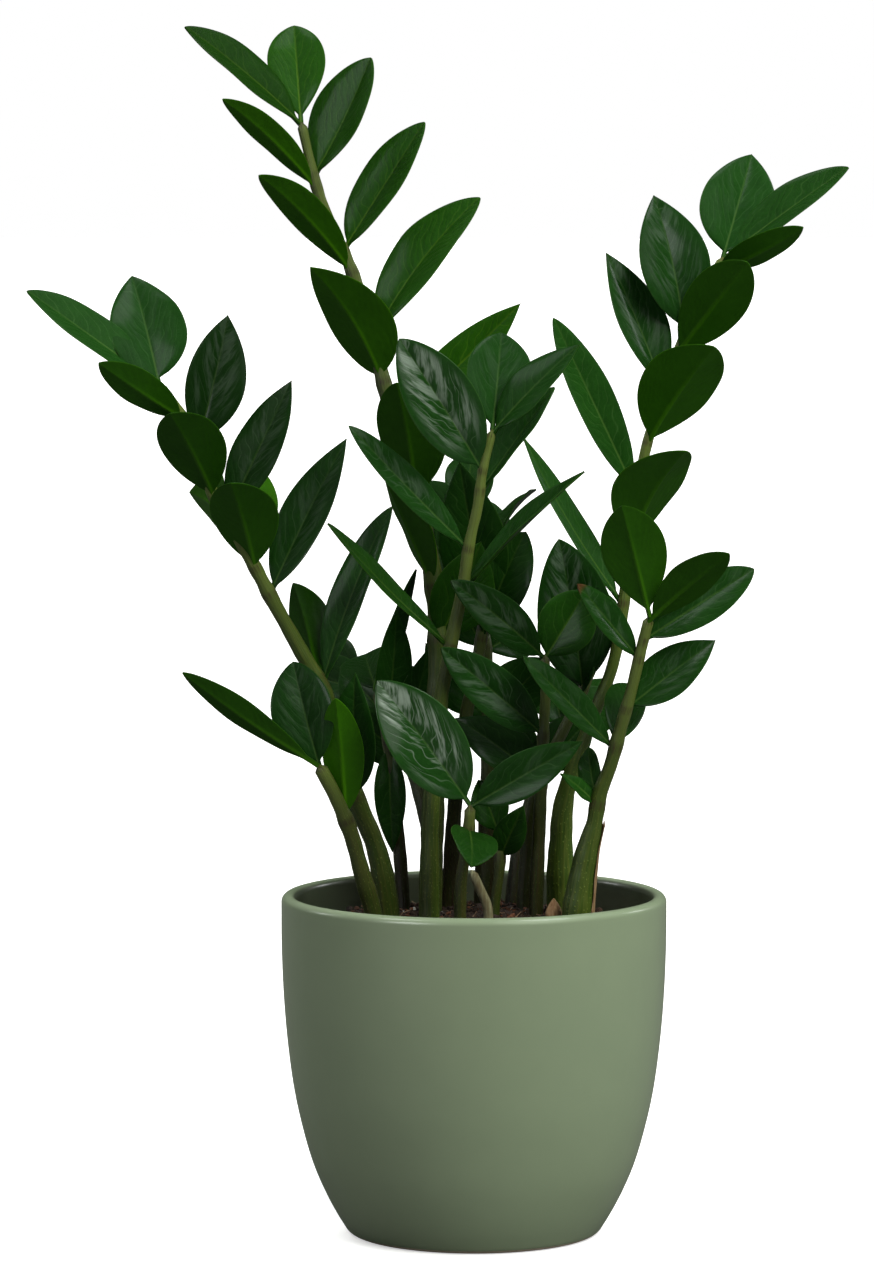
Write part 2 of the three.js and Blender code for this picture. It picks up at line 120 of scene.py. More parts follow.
# Each frond: the stalk's radius at the soil, above its swollen foot and at the top; where the swelling
# ends, if not at NECK above the soil; the points that the stalk passes through; and its leaflets.
# A leaflet's row gives the height on the stalk where it grows, its length as x, y and z from root to tip,
# its width, and how far it is turned about its own length, in degrees: at 0 its upper face looks to the
# front, at 180 its underside does. A row may go on with the leaflet's form, and with how far its middle
# bows towards its upper face, as a share of its length.
FRONDS = {
    "frond_left": {
        "radii": [5.6, 4.4, 1.7],
        "stalk": [
            [-42, -12, 160], [-48, -12, 192], [-58, -14, 217], [-66, -17, 246], [-74, -20, 271],
            [-85, -22, 291], [-98, -26, 315], [-109, -29, 336], [-126, -34, 366], [-139, -38, 402],
            [-152, -42, 421]
        ],
        "leaves": [
            [421, -14.5, 28, 51.5, 39.5, 12, "heart"], [420, -63.5, -8, 46, 26.5, 50, "oval", 0],
            [404, -39.5, -28, 28, 20, 160, "oval", -0.02],
            [390, 14.5, 20, 63.5, 31.5, 15, "pointed", 0.045],
            [366, -19.5, -34, 42, 33.5, 165, "oval"], [355, 31, 24, 66.5, 25, -15, "pointed", 0.01],
            [331, -10.5, -36, 43.5, 35, 168, "oval"], [318, 37, 20, 75, 26, -25, "pointed", 0.02],
            [351, 16, 46, 22, 27, 150, "oval"], [357, -18, 42, 9, 30, 150, "oval"],
            [276, -12, 18, 46, 27, 150, "oval"], [272, 34, 10, 88, 22, -38, "oval", 0.045],
            [217, 0, -16, 63, 26, -15]
        ],
    },
    "frond_tall": {
        "radii": [5.6, 5.4, 1.9],
        "stalk": [
            [-21.5, 8, 160], [-20, 10, 214], [-18, 14, 263], [-17.5, 18, 292], [-20.5, 24, 326],
            [-28, 30, 361], [-37, 35, 390], [-44.5, 40, 418], [-51, 45, 445], [-61.5, 50, 476],
            [-71, 53, 497], [-78, 56, 515], [-86, 60, 548]
        ],
        "leaves": [
            [548, -4, 24, 48.5, 31, 0, "spoon"], [547, -57.5, -8, 48, 24.5, 48, "oval", 0.03],
            [521, 28.5, 6, 59, 38, -46, "oval", -0.03], [515, -46, -22, 44, 16.5, 155, "oval", 0.08],
            [484, 40.5, 10, 64, 29.5, -42, "oval", 0],
            [473, -45.5, -28, 48.5, 21.5, 155, "oval", 0.09],
            [441, 53, 12, 69.5, 33.5, -42, "oval", 0.065],
            [419, -35.5, -28, 57.5, 37, 150, "heart", 0.1], [396, 62, 8, 62, 25, -10, "pointed", 0],
            [361, -10, -24, 59, 38, 160, "oval"], [318, -24, -8, 55, 26, 125, "oval", 0],
            [292, 21, -2, 49, 34, 15]
        ],
    },
    "frond_centre": {
        "radii": [4.9, 3.9, 1.6],
        "stalk": [
            [-22, -22, 160], [-21, -24, 213], [-18, -26, 257], [-14, -28, 281], [-10, -30, 301],
            [-5.5, -32, 323], [-2.6, -34, 343], [1.6, -36, 362], [3.8, -38, 379], [6.2, -39, 389],
            [8.5, -40, 399]
        ],
        "leaves": [
            [399, 4.5, 22, 46, 34, 5, "oval"], [397, 42, -8, 43, 24, -42, "pointed", 0.03],
            [379, -40, -14, 64, 36, 8, "oval"], [369, 36, 10, 50, 26, -60, "oval", 0],
            [341, -57.5, -12, 60, 18, 30, "oval", -0.015],
            [321, 58.5, -10, 58, 22, -75, "pointed", 0.02],
            [293, -59, -15, 61, 14.5, 60, "oval", -0.028]
        ],
    },
    "frond_right": {
        "radii": [7.2, 3.2, 1.8],
        "neck": 100,
        "stalk": [
            [43, 8, 160], [43, 8, 190], [45, 9, 215], [58, 11, 253], [68, 13, 278], [73, 17, 302],
            [76.5, 21, 332], [80, 25, 361], [84.5, 29, 383], [91.5, 33, 408], [102, 38, 436],
            [112, 42, 460], [124, 45, 481]
        ],
        "leaves": [
            [481, 15.5, 28, 51, 41, 0, "heart"], [480, 62.5, 0, 45.5, 28, -52, "oval", 0.005],
            [474, 42, -26, 22, 18, -150, "oval", -0.05],
            [443, -15, 14, 68.5, 37.5, 12, "pointed", 0.1], [433, 33, -34, 46, 32, 180, "oval"],
            [415.5, -28, 12, 67.5, 30.5, 35, "pointed", 0.02],
            [389.5, 31, -34, 48.5, 41, -158, "oval"], [364, -41, 10, 87, 23, 22, "oval", 0],
            [338, 25.5, -35, 49.5, 41, -143, "oval", 0.08],
            [310, -49.5, 5, 82.5, 19, 50, "pointed", -0.035]
        ],
    },
    "frond_right_front": {
        "radii": [7.5, 3.4, 1.9],
        "stalk": [
            [50.5, -25, 160], [54.3, -25, 189], [58.5, -26, 206], [61.2, -27, 221], [66, -29, 234],
            [71, -32, 253], [76, -36, 272], [80, -40, 290], [84.5, -45, 309]
        ],
        "leaves": [
            [309, -14, -10, 54, 33.5, 175, "spoon"], [307, 37.5, -25, 34, 22, -160, "oval", 0.03],
            [297, 54, 10, 34, 25, -20, "oval", 0.01], [263, 43.5, 6, 33, 26, -22, "pointed", 0.02],
            [288, -30, -12, 37, 17, 35, "oval", 0], [245, 7, 45, 26, 22, 0, "oval"],
            [243, -45, -10, 46, 18, 35, "oval", 0], [216, -4, 14, 26, 14, -30, "oval"],
            [215, -18, -3, 16, 9, 40]
        ],
    },
    "frond_small_front": {
        "radii": [3.1, 2.7, 2.0],
        "stalk": [
            [-7, -45, 160], [-6.5, -46, 180], [-3, -48, 203], [-2.2, -50, 218]
        ],
        "leaves": [
            [218, -44.5, -10, 61, 38, 12, "oval"], [217, 54, -8, 32.5, 23, -10, "pointed", 0.03],
            [206, 1, -33, -14, 26, -25, "oval"]
        ],
    },
    "frond_left_front": {
        "radii": [4.3, 3.4, 2.1],
        "stalk": [
            [-49, -28, 160], [-55.5, -32, 185], [-60, -35, 202], [-67, -40, 220], [-75.5, -46, 237]
        ],
        "leaves": [
            [237, -65, -12, 46, 16, 152, "spoon", -0.03], [236, -13, 12, 50, 33, -10, "oval"],
            [209, -4.5, -22, 61.5, 22, 170, "oval"]
        ],
    },
    "frond_centre_right": {
        "radii": [3.7, 3.2, 1.8],
        "stalk": [
            [30.5, -8, 160], [32, -9, 201], [33, -10, 226], [34, -12, 251], [35, -14, 270],
            [34.5, -16, 288]
        ],
        "leaves": [
            [248, -50, -26, 45, 25, 10, "oval"], [286, -46, -26, 40, 22, 20, "oval"],
            [286, 20, 3, 33, 30, 0, "oval"], [225, -42, 12, 30, 28, 30]
        ],
    },
    "frond_inner_right": {
        "radii": [3.4, 3.0, 1.8],
        "stalk": [
            [25, 22, 160], [28, 24, 200], [35, 26, 227], [45, 28, 247], [53.5, 30, 264], [62, 32, 286]
        ],
        "leaves": [
            [266, -12.5, -27, 77, 41, 10, "oval"], [262, 9, 2, 29, 18, -50], [286, -8, 34, 28, 32, 10],
            [277, -4, 50, 16, 28, 0]
        ],
    },
    "frond_inner_left": {
        "radii": [3.6, 3.2, 1.8],
        "stalk": [
            [-35, 26, 160], [-37.5, 27, 194], [-40, 29, 222], [-43.5, 31, 246], [-48.5, 33, 266]
        ],
        "leaves": [
            [265, 20, 2, 61, 20, 60, "heart", -0.05], [246, 5, 2, 60, 20, 15],
            [226, 18, 9, 60, 26, 20], [240, 2, -8, -54, 17, 0], [266, -6, 46, 14, 30, 0]
        ],
    },
    "frond_inner_back": {
        "radii": [3.9, 3.5, 1.8],
        "stalk": [
            [-12, 20, 160], [-9, 25, 213], [-4, 30, 252], [2, 36, 281], [7, 44, 310], [10, 52, 330],
            [13, 62, 344]
        ],
        "leaves": [
            [303, -13, -17, 77, 36, 0], [291, 22, -6, 54, 32, -15, "spoon", 0.1],
            [343, 19, 30, 20, 16, -80], [296, -24, 12, 40, 28, 15], [336, -12, 46, 6, 28, 0],
            [318, -26, 38, 14, 30, 20], [325, 16, 40, 2, 28, -20]
        ],
    },
    "frond_back": {
        "radii": [4.8, 4.0, 1.8],
        "stalk": [
            [5, 38, 160], [7, 46, 200], [8, 60, 245], [6, 78, 285], [2, 98, 320], [-4, 116, 346]
        ],
        "leaves": [
            [248, -32, 12, 38, 30, 10], [248, 30, 16, 30, 30, -10], [282, -22, 18, 36, 29, 10],
            [282, 24, 30, 10, 28, -10], [312, -34, 22, 32, 30, 10], [312, 22, 30, 16, 29, -10],
            [336, -30, 26, 28, 28, 10], [336, 20, 34, 10, 27, -10], [346, 4, 34, 34, 27, 0]
        ],
    },
    "frond_back_left": {
        "radii": [4.2, 3.6, 1.8],
        "stalk": [
            [-18, 38, 160], [-22, 46, 192], [-30, 60, 222], [-42, 82, 246], [-56, 106, 262]
        ],
        "leaves": [
            [226, -30, 2, 24, 28, 20], [226, 6, 34, 30, 28, 0], [245, -26, 14, 26, 30, 20],
            [245, 18, 34, 24, 30, 0], [262, -22, 40, 14, 30, 0], [258, -36, 24, 8, 29, 20]
        ],
    },
    "frond_back_right": {
        "radii": [4.0, 3.4, 1.8],
        "stalk": [
            [20, 42, 160], [25, 50, 192], [34, 64, 220], [46, 84, 240], [58, 104, 250]
        ],
        "leaves": [
            [222, 26, -2, 28, 28, -20], [222, -24, 30, 20, 28, 0], [240, 30, 10, 18, 29, -20],
            [240, -6, 36, 28, 29, 0], [250, 0, 44, 10, 31, 0]
        ],
    },
    "frond_sprout": {
        "radii": [2.6, 2.3, 1.7],
        "stalk": [
            [10, -8, 160], [13, -9, 187], [12, -8, 200]
        ],
        "leaves": [
            [187, 11, -10, 27, 17, -10], [199, -10, 6, 26, 20, 10]
        ],
    },
}

# The dry stub of a cut stalk is a stalk with no leaflets.
STUB = {
    "radii": [2.3, 2.2, 1.9],
    "stalk": [[6.5, -22, 164], [2.5, -23, 174], [-1.5, -24, 183]],
    "leaves": [],
}

# The sheath reaches SHEATH_REACH degrees to either side of SHEATH_MIDDLE, which is in radians from +X.
SHEATH_LOW = 160.5
SHEATH_HIGH = 206
SHEATH_MIDDLE = 0.25
SHEATH_REACH = 48
SHEATH_NARROWING = 0.55
SHEATH_CLEARANCE = 0.7
SHEATH_CURL = 1.4

BUD_PLACE = [39, -17]
BUD_OUTLINE = [[0, 0], [3.4, 0.6], [4.1, 2.8], [3.1, 6], [1.2, 9], [0, 10.4]]
BUD_FLATNESS = 0.6
BUD_SINK = 0.35

# --- Fineness of the meshes -----------------------------------------------------------------

FOOT_ROUND_STEPS = 7
LIP_STEPS = 16
CORNER_STEPS = 4
OUTSIDE_SPACING = 3
INSIDE_SPACING = 4

SOIL_RINGS = 56
SOIL_SIDES = 150

LEAF_STATIONS = 40
LEAF_COLUMNS = [0, 0.03, 0.08, 0.16, 0.27, 0.4, 0.54, 0.68, 0.81, 0.91, 0.97, 1]

STALK_SIDES = 20
STALK_STEP = 3

SHEATH_STATIONS = 26
SHEATH_COLUMNS = 15
BUD_SPACING = 0.5
BUD_SIDES = 28

# --- Fine forms that only the looks have ----------------------------------------------------

# The soil's crust: how fine its clods and its grit are, and how high.
CLODS = [0.16, 1.1]
GRIT = [0.9, 0.45]

# The bits on the soil: what share of them is of each kind, how large it is against the middle size, and
# how high it is against its own width. A fibre is a thin rod, so its length is drawn instead.
CRUMBS = {
    "humus": [0.54, 1, 0.75],
    "bark": [0.3, 1, 0.38],
    "perlite": [0.05, 0.55, 0.85],
    "fibre": [0.11, 1, 1],
}
CRUMB_SPREAD = 0.38
CRUMB_ROUGHNESS = 0.22
CRUMB_TILT = 0.35
CRUMB_MARGIN = 2.5
CRUMB_WIDTHS = [0.55, 0.95]
CRUMB_LIFT = 0.2
CRUMB_LIFTS = [0.2, 1.2]
FIBRE_THICKNESS = 0.55
FIBRE_LENGTHS = [2.2, 4.5]

LEAF_CUP = 1.4
LEAF_EDGE = 0.12
LEAF_TIP_HALF = 0.3

# A leaflet twists by up to LEAF_TWIST degrees over its length, and not at TWIST_CENTRE of it.
LEAF_TWIST = 3
TWIST_CENTRE = 0.3

# How many waves a margin may have, and how high they may be against the middle height.
LEAF_WAVES = [1.2, 2.4]
WAVE_HEIGHTS = [0.6, 1.3]

# A leaflet's section is an ellipse at its root, and further out a flat blade with round margins: the
# power of its outline, and from which part of the length and over which the power grows.
ROOT_POWER = 2
BLADE_POWER = 10
POWER_FROM = 0.05
POWER_OVER = 0.15

# The groove over the midrib and the rib under it: how deep, half how wide, and over which part of the
# length it grows. The groove fades evenly to the tip, and the rib by the power RIB_FADE.
GROOVE_DEPTH = 0.25
GROOVE_HALF = 0.7
GROOVE_START = 0.2
RIB_DEPTH = 0.7
RIB_HALF = 1.1
RIB_START = 0.1
RIB_FADE = 0.8

# A stalk swells where a leaflet leaves it, and closes over TIP_TAPER to a blunt tip. Its radius also
# wavers: [share, radians a millimetre].
NODE_SWELL = 0.14
NODE_REACH = 4.5
NO_LEAFLET_NEAR = 99
STALK_WAVERS = [[0.03, 0.21], [0.02, 0.53]]
STALK_OVAL = 0.05
TIP_TAPER = 4
TIP_LEAST = 0.03

# How far the sheath stands off its stalk, how much of its looseness shows, how high its ripples are, how
# ragged its top edge is, and how many degrees its margins sway.
SHEATH_STANDOFF = 0.1
SHEATH_LOOSENESS = 0.3
SHEATH_RIPPLE = 0.25
SHEATH_RAGGED = 1.2
SHEATH_SWAY = 2
BUD_RIDGES = 7
BUD_RIDGE_HEIGHT = 0.04

# --- Looks ----------------------------------------------------------------------------------

# How light and how yellow each frond's leaflets are, how red the foot of its stalk is, and how light
# the stalk is. Lightness also paints shade: fronds deep inside the plant are darker, as if in shadow.
FROND_TONES = {
    "frond_left": [0.85, 0.1, 0.2, 0.9],
    "frond_tall": [1, 0.7, 0.25, 0.68],
    "frond_centre": [1, 0.15, 0.1, 1.05],
    "frond_right": [1.05, 0.2, 0, 1.3],
    "frond_right_front": [0.88, 0.3, 0, 0.96],
    "frond_small_front": [1, 0.2, 0.5, 0.75],
    "frond_left_front": [0.8, 0.2, 0.4, 0.8],
    "frond_centre_right": [0.7, 0.25, 0.6, 0.5],
    "frond_inner_right": [0.75, 0.1, 0.6, 0.5],
    "frond_inner_left": [0.55, 0.2, 0.9, 0.4],
    "frond_inner_back": [0.55, 0.3, 0.9, 0.35],
    "frond_back": [0.65, 0.3, 0.8, 0.5],
    "frond_back_left": [0.65, 0.3, 0.8, 0.5],
    "frond_back_right": [0.65, 0.3, 0.8, 0.5],
    "frond_sprout": [0.6, 0.4, 0.3, 0.6],
}
LIGHT_SPREAD = [0.88, 1.12]

# Leaflets that differ from the rest of their frond, by their row's number: how light, how yellow, how
# brown the tip is, and how strong a pale, streaky painted sheen highlight it has, which also thickens
# its coat. The lightness also paints shade on leaflets deep in the plant and light shining through a few.
LEAFLET_TONES = {
    "frond_left": {
        0: [0.85, 0, 0, 0.03], 3: [0.32, 0.1, 0, 0.08], 5: [0.36, 0.1, 0, 0.06], 7: [0.52, 0.1, 0, 0.06],
        8: [1, 1, 0, 0], 9: [1, 1, 0, 0],
    },
    "frond_tall": {1: [0.6, 0.7, 0, 0], 8: [1, 1, 0, 0], 11: [0.5, 0.7, 0, 0]},
    "frond_centre": {
        0: [0.82, 0, 0, 0.05], 2: [0.85, 0, 0, 0.7], 4: [0.8, 0, 0, 0.15], 6: [0.6, 0.5, 0, 0],
    },
    "frond_right": {
        0: [1, 0, 0, 0.03], 3: [0.75, 0, 0, 0.15], 4: [1.15, 0.3, 0, 0], 5: [0.75, 0, 0, 0.18],
        6: [1.15, 0.3, 0, 0], 8: [1.15, 0.3, 0, 0],
    },
    "frond_right_front": {
        2: [0.8, 0.1, 0, 0.05], 3: [0.8, 0.1, 0, 0.1], 4: [0.7, 0.1, 1, 0.1], 6: [0.6, 0.1, 0, 0.05],
    },
    "frond_small_front": {0: [0.85, 0, 0, 1], 1: [0.65, 0.1, 0, 0.05], 2: [0.6, 0.3, 0, 0]},
    "frond_left_front": {1: [0.62, 0, 0, 0.08], 2: [1.35, 1, 0, 0]},
    "frond_centre_right": {
        0: [0.7, 0, 0, 0.2], 1: [0.4, 0.1, 0, 0.1], 2: [0.8, 0.5, 0, 0], 3: [0.35, 0.2, 0, 0],
    },
    "frond_inner_right": {0: [0.7, 0, 0, 0.25]},
}

# What yellows a leaflet, and the colours of a scorched tip, of the painted sheen highlight, of a stalk's
# red foot and of the scar where a leaflet leaves the stalk.
YELLOWING = (1.3, 1.25, 0.25)
SCORCHED = (0.07, 0.035, 0.012)
PAINTED_SHEEN = (0.26, 0.33, 0.26)
RED_FOOT = (0.05, 0.022, 0.012)
SCAR = (0.035, 0.018, 0.01)

# How much paler the bud scale is than the sheath.
BUD_PALENESS = (2.0, 1.9, 2.0)

# How steeply the side veins climb from the midrib, how they bend on, and how unevenly they stand.
VEIN_COURSE = {"Slant": 1.1, "Bend": 0.07, "Wobble": 3.2}

# What each point of a mesh carries for its materials, all as vectors:
# blade: millimetres across and along the leaflet, and a number of its own. On a stalk, the angle round
#   it, millimetres above the soil, and a number of its own.
# share: how far out from midrib to margin, from -1 to 1, how far along, from 0 to 1, and how strong the
#   painted sheen highlight and the extra coat are. On a stalk, nothing, how far along, and the distance to
#   the nearest leaflet. On the pot the first says where its inside is, to be darkened with painted shade.
# tone: how light, which also holds painted shade and, on a few leaflets, painted light shining through;
#   how yellow (on a stalk how red its foot is), and how brown the tip is.
# flat: the direction that the leaflet as a whole faces on this side of it.
MARKS = ("blade", "share", "tone", "flat")

# --- Settings -------------------------------------------------------------------------------


class PotSettings(bpy.types.PropertyGroup):
    sides: IntProperty(
        name="Sides", description="Steps round the pot", default=160, min=24, max=360,
    )
    glaze: FloatVectorProperty(
        name="Glaze", description="Colour of the glaze", subtype="COLOR", size=3, min=0, max=1,
        default=(0.214, 0.277, 0.171),
    )
    roughness: FloatProperty(
        name="Roughness", description="How matt the glaze is", default=0.34, min=0, max=1, subtype="FACTOR",
    )


class SoilSettings(bpy.types.PropertyGroup):
    colour: FloatVectorProperty(
        name="Soil", description="Colour of the fine soil", subtype="COLOR", size=3, min=0, max=1,
        default=(0.026, 0.016, 0.01),
    )
    crumbs: IntProperty(
        name="Crumbs", description="Bits of bark, humus, perlite and fibre that lie on the soil",
        default=1500, min=0, max=2200,
    )
    crumb_size: FloatProperty(
        name="Crumb size", description="Middle size of a bit", default=2.1 * MM, min=0.5 * MM, max=6 * MM,
        subtype="DISTANCE", unit="LENGTH",
    )


class FrondSettings(bpy.types.PropertyGroup):
    upper: FloatVectorProperty(
        name="Upper face", description="Colour of a leaflet's upper face", subtype="COLOR", size=3, min=0,
        max=1, default=(0.0098, 0.054, 0.0055),
    )
    under: FloatVectorProperty(
        name="Underside", description="Colour of a leaflet's underside", subtype="COLOR", size=3, min=0,
        max=1, default=(0.0165, 0.077, 0.0028),
    )
    stalk: FloatVectorProperty(
        name="Stalk", description="Colour of the stalks half-way up", subtype="COLOR", size=3, min=0, max=1,
        default=(0.062, 0.095, 0.016),
    )
    blade: FloatProperty(
        name="Blade", description="Thickness of a leaflet", default=0.8 * MM, min=0.3 * MM, max=2 * MM,
        subtype="DISTANCE", unit="LENGTH",
    )
    wave: FloatProperty(
        name="Wave", description="How far a leaflet's margin rises and falls", default=0.5 * MM, min=0,
        max=2 * MM, subtype="DISTANCE", unit="LENGTH",
    )
    vein_spacing: FloatProperty(
        name="Vein spacing", description="Distance between side veins along the midrib", default=8.5 * MM,
        min=2 * MM, max=15 * MM, subtype="DISTANCE", unit="LENGTH",
    )


class DrySettings(bpy.types.PropertyGroup):
    paper: FloatVectorProperty(
        name="Dry leaf", description="Colour of the dry sheath and scale", subtype="COLOR", size=3, min=0,
        max=1, default=(0.36, 0.25, 0.125),
    )
    stub: FloatVectorProperty(
        name="Stub", description="Colour of the cut stalk", subtype="COLOR", size=3, min=0, max=1,
        default=(0.26, 0.27, 0.15),
    )
    wall: FloatProperty(
        name="Wall", description="Thickness of the dry sheath", default=0.5 * MM, min=0.3 * MM, max=1 * MM,
        subtype="DISTANCE", unit="LENGTH",
    )


class StageSettings(bpy.types.PropertyGroup):
    floor: FloatVectorProperty(
        name="Floor", description="Colour of the floor", subtype="COLOR", size=3, min=0, max=1,
        default=(0.86, 0.86, 0.85),
    )
    floor_radius: FloatProperty(
        name="Floor radius", description="Radius of the floor", default=60, min=2, max=500,
        subtype="DISTANCE", unit="LENGTH",
    )
    light: FloatProperty(
        name="Light", description="Strength of all the lamps together", default=1, min=0, max=5,
    )


SETTINGS = {
    "zz_pot": PotSettings,
    "zz_soil": SoilSettings,
    "zz_fronds": FrondSettings,
    "zz_dry": DrySettings,
    "zz_stage": StageSettings,
}

# --- Node graphs ----------------------------------------------------------------------------


class Graph:
    """Adds nodes to one node tree and links them."""

    def __init__(self, tree):
        self.tree = tree

    def add(self, kind, inputs=None, **settings):
        """A new node. Each input is a socket to link from or a plain value."""
        node = self.tree.nodes.new(kind)
        for name, value in settings.items():
            setattr(node, name, value)
        for name, value in (inputs or {}).items():
            self.feed(node.inputs[name], value)
        return node

    def feed(self, socket, value):
        if isinstance(value, bpy.types.NodeSocket):
            self.tree.links.new(value, socket)
        else:
            socket.default_value = value

    def maths(self, operation, *values):
        inputs = dict(enumerate(values))
        return self.add("ShaderNodeMath", inputs, operation=operation).outputs[0]

    def times(self, first, *others):
        """The product of all the values."""
        for other in others:
            first = self.maths("MULTIPLY", first, other)
        return first

    def times_plus(self, value, factor, more):
        return self.maths("MULTIPLY_ADD", value, factor, more)

    def step(self, value, start, end, low=0.0, high=1.0):
        """Goes smoothly from low to high as the value goes from start to end."""
        inputs = {"Value": value, "From Min": start, "From Max": end, "To Min": low, "To Max": high}
        return self.add("ShaderNodeMapRange", inputs, interpolation_type="SMOOTHSTEP").outputs["Result"]

    def blend(self, share, first, second, way="MIX"):
        """One colour turning into another as share goes from 0 to 1."""
        inputs = {0: share, 6: opaque(first), 7: opaque(second)}
        node = self.add("ShaderNodeMix", inputs, data_type="RGBA", blend_type=way, clamp_factor=True)
        return node.outputs[2]

    def parts(self, vector):
        node = self.add("ShaderNodeSeparateXYZ", {0: vector})
        return node.outputs[0], node.outputs[1], node.outputs[2]

    def vector(self, x, y, z):
        return self.add("ShaderNodeCombineXYZ", {0: x, 1: y, 2: z}).outputs[0]

    def noise(self, vector, scale, detail=2.0, roughness=0.5):
        inputs = {"Vector": vector, "Scale": scale, "Detail": detail, "Roughness": roughness}
        return self.add("ShaderNodeTexNoise", inputs).outputs["Fac"]

    def cells(self, vector, scale, feature="F1"):
        """How far each point is from its cell's middle or, with DISTANCE_TO_EDGE, from its edge."""
        inputs = {"Vector": vector, "Scale": scale}
        return self.add("ShaderNodeTexVoronoi", inputs, feature=feature).outputs["Distance"]

    def mark(self, name):
        return self.add("ShaderNodeAttribute", attribute_name=name).outputs["Vector"]

    def place(self):
        return self.add("ShaderNodeTexCoord").outputs["Object"]

    def ray(self, kind):
        return self.add("ShaderNodeLightPath").outputs[kind]

    def group(self, group, inputs):
        node = self.tree.nodes.new("ShaderNodeGroup")
        node.node_tree = group
        for name, value in inputs.items():
            self.feed(node.inputs[name], value)
        return node.outputs

    def mottle(self, place, scale, contrast):
        """Clouds from the Mottle group, from 0 to 1."""
        return self.group(mottle_group(), {"Place": place, "Scale": scale, "Contrast": contrast})["Patches"]

    def leaf_veins(self, blade, fronds, midrib_half):
        """The veins on one face of the leaflets."""
        inputs = {"Blade": blade, "Spacing": fronds.vein_spacing / MM, "Midrib half": midrib_half}
        return self.group(vein_group(), {**inputs, **VEIN_COURSE})

    def eased_normal(self, share):
        """A leaflet's normal, turned by that share to its whole face."""
        return self.group(ease_group(), {"Flat": self.mark("flat"), "Share": share})["Normal"]

    def dress(self, shader, base, rough, height, depth, **more):
        """Gives the shader its colour, its roughness and a relief that is depth metres deep."""
        self.feed(shader.inputs["Base Color"], base)
        self.feed(shader.inputs["Roughness"], rough)
        inputs = {"Height": height, "Distance": depth, "Strength": 1.0, **more}
        self.feed(shader.inputs["Normal"], self.add("ShaderNodeBump", inputs).outputs[0])


def opaque(colour):
    if isinstance(colour, bpy.types.NodeSocket):
        return colour
    return (*tuple(colour)[:3], 1)


def scaled(colour, *shares):
    """A colour with each part multiplied; one share does for all three."""
    shares = shares * 3 if len(shares) == 1 else shares
    return tuple(part * share for part, share in zip(tuple(colour)[:3], shares))


def new_group(name, given, made):
    """An empty node group. Its sockets are floats, and vectors where the name ends in a star."""
    tree = bpy.data.node_groups.new(name, "ShaderNodeTree")
    for way, sockets in (("INPUT", given), ("OUTPUT", made)):
        for socket in sockets:
            kind = "NodeSocketVector" if socket.endswith("*") else "NodeSocketFloat"
            tree.interface.new_socket(socket.rstrip("*"), in_out=way, socket_type=kind)
    graph = Graph(tree)
    return graph, graph.add("NodeGroupInput").outputs, graph.add("NodeGroupOutput").inputs


def mottle_group():
    """Clouds: soft uneven patches with finer ones in them. Most finishes use them."""
    name = "Mottle"
    if name in bpy.data.node_groups:
        return bpy.data.node_groups[name]
    graph, given, made = new_group(name, ["Place*", "Scale", "Contrast"], ["Patches"])
    broad = graph.noise(given["Place"], given["Scale"], 3.0)
    fine = graph.noise(given["Place"], graph.times(given["Scale"], 4.7), 2.0)
    both = graph.times_plus(fine, 0.35, graph.times(broad, 0.65))
    away = graph.times(graph.maths("SUBTRACT", both, 0.5), given["Contrast"])
    clear = graph.maths("ADD", away, 0.5)
    graph.feed(made["Patches"], graph.add("ShaderNodeClamp", {0: clear}).outputs[0])
    return graph.tree


def vein_group():
    """Side veins that climb from the midrib and bend along the margin, and the fine net between them."""
    name = "Leaflet veins"
    if name in bpy.data.node_groups:
        return bpy.data.node_groups[name]
    given = ["Blade*", "Spacing", "Slant", "Bend", "Wobble", "Midrib half"]
    graph, given, made = new_group(name, given, ["Side vein", "Swell", "Streak", "Painted sheen", "Net", "Midrib"])
    across, along, seed = graph.parts(given["Blade"])
    away = graph.maths("ABSOLUTE", across)
    climb = graph.times(away, graph.times_plus(away, given["Bend"], given["Slant"]))
    climb = graph.maths("SUBTRACT", along, climb)

    # The veins on the two sides of the midrib don't meet, and none of them is quite straight.
    wander = graph.noise(graph.vector(across, along, graph.times(seed, 13.0)), 0.07, 1.0)
    half_turn = graph.times(graph.maths("GREATER_THAN", across, 0.0), 0.42)
    start = graph.maths("ADD", graph.times_plus(wander, given["Wobble"], seed), half_turn)
    phase = graph.maths("ADD", graph.maths("DIVIDE", climb, given["Spacing"]), start)
    crest = graph.maths("PINGPONG", phase, 0.5)
    graph.feed(made["Side vein"], graph.step(crest, 0.0, 0.085, 1.0, 0.0))
    graph.feed(made["Swell"], graph.step(crest, 0.0, 0.5))

    # Streaks and the painted sheen highlight pattern are drawn out along the side veins, and differ from
    # side to side.
    mirrored = graph.times_plus(graph.maths("GREATER_THAN", across, 0.0), 17.0, seed)
    drawn = graph.vector(graph.times(away, 0.1), graph.times(climb, 0.55), mirrored)
    graph.feed(made["Streak"], graph.noise(drawn, 1.0, 3.0, 0.6))
    broad = graph.vector(graph.times(away, 0.1), graph.times(climb, 0.12), mirrored)
    graph.feed(made["Painted sheen"], graph.noise(broad, 1.0, 3.5, 0.62))

    net = graph.vector(graph.times(away, 0.34), graph.times(climb, 0.62), seed)
    graph.feed(made["Net"], graph.step(graph.cells(net, 1.0, "DISTANCE_TO_EDGE"), 0.0, 0.1, 1.0, 0.0))
    inner = graph.times(given["Midrib half"], 0.35)
    graph.feed(made["Midrib"], graph.step(away, inner, given["Midrib half"], 1.0, 0.0))
    return graph.tree


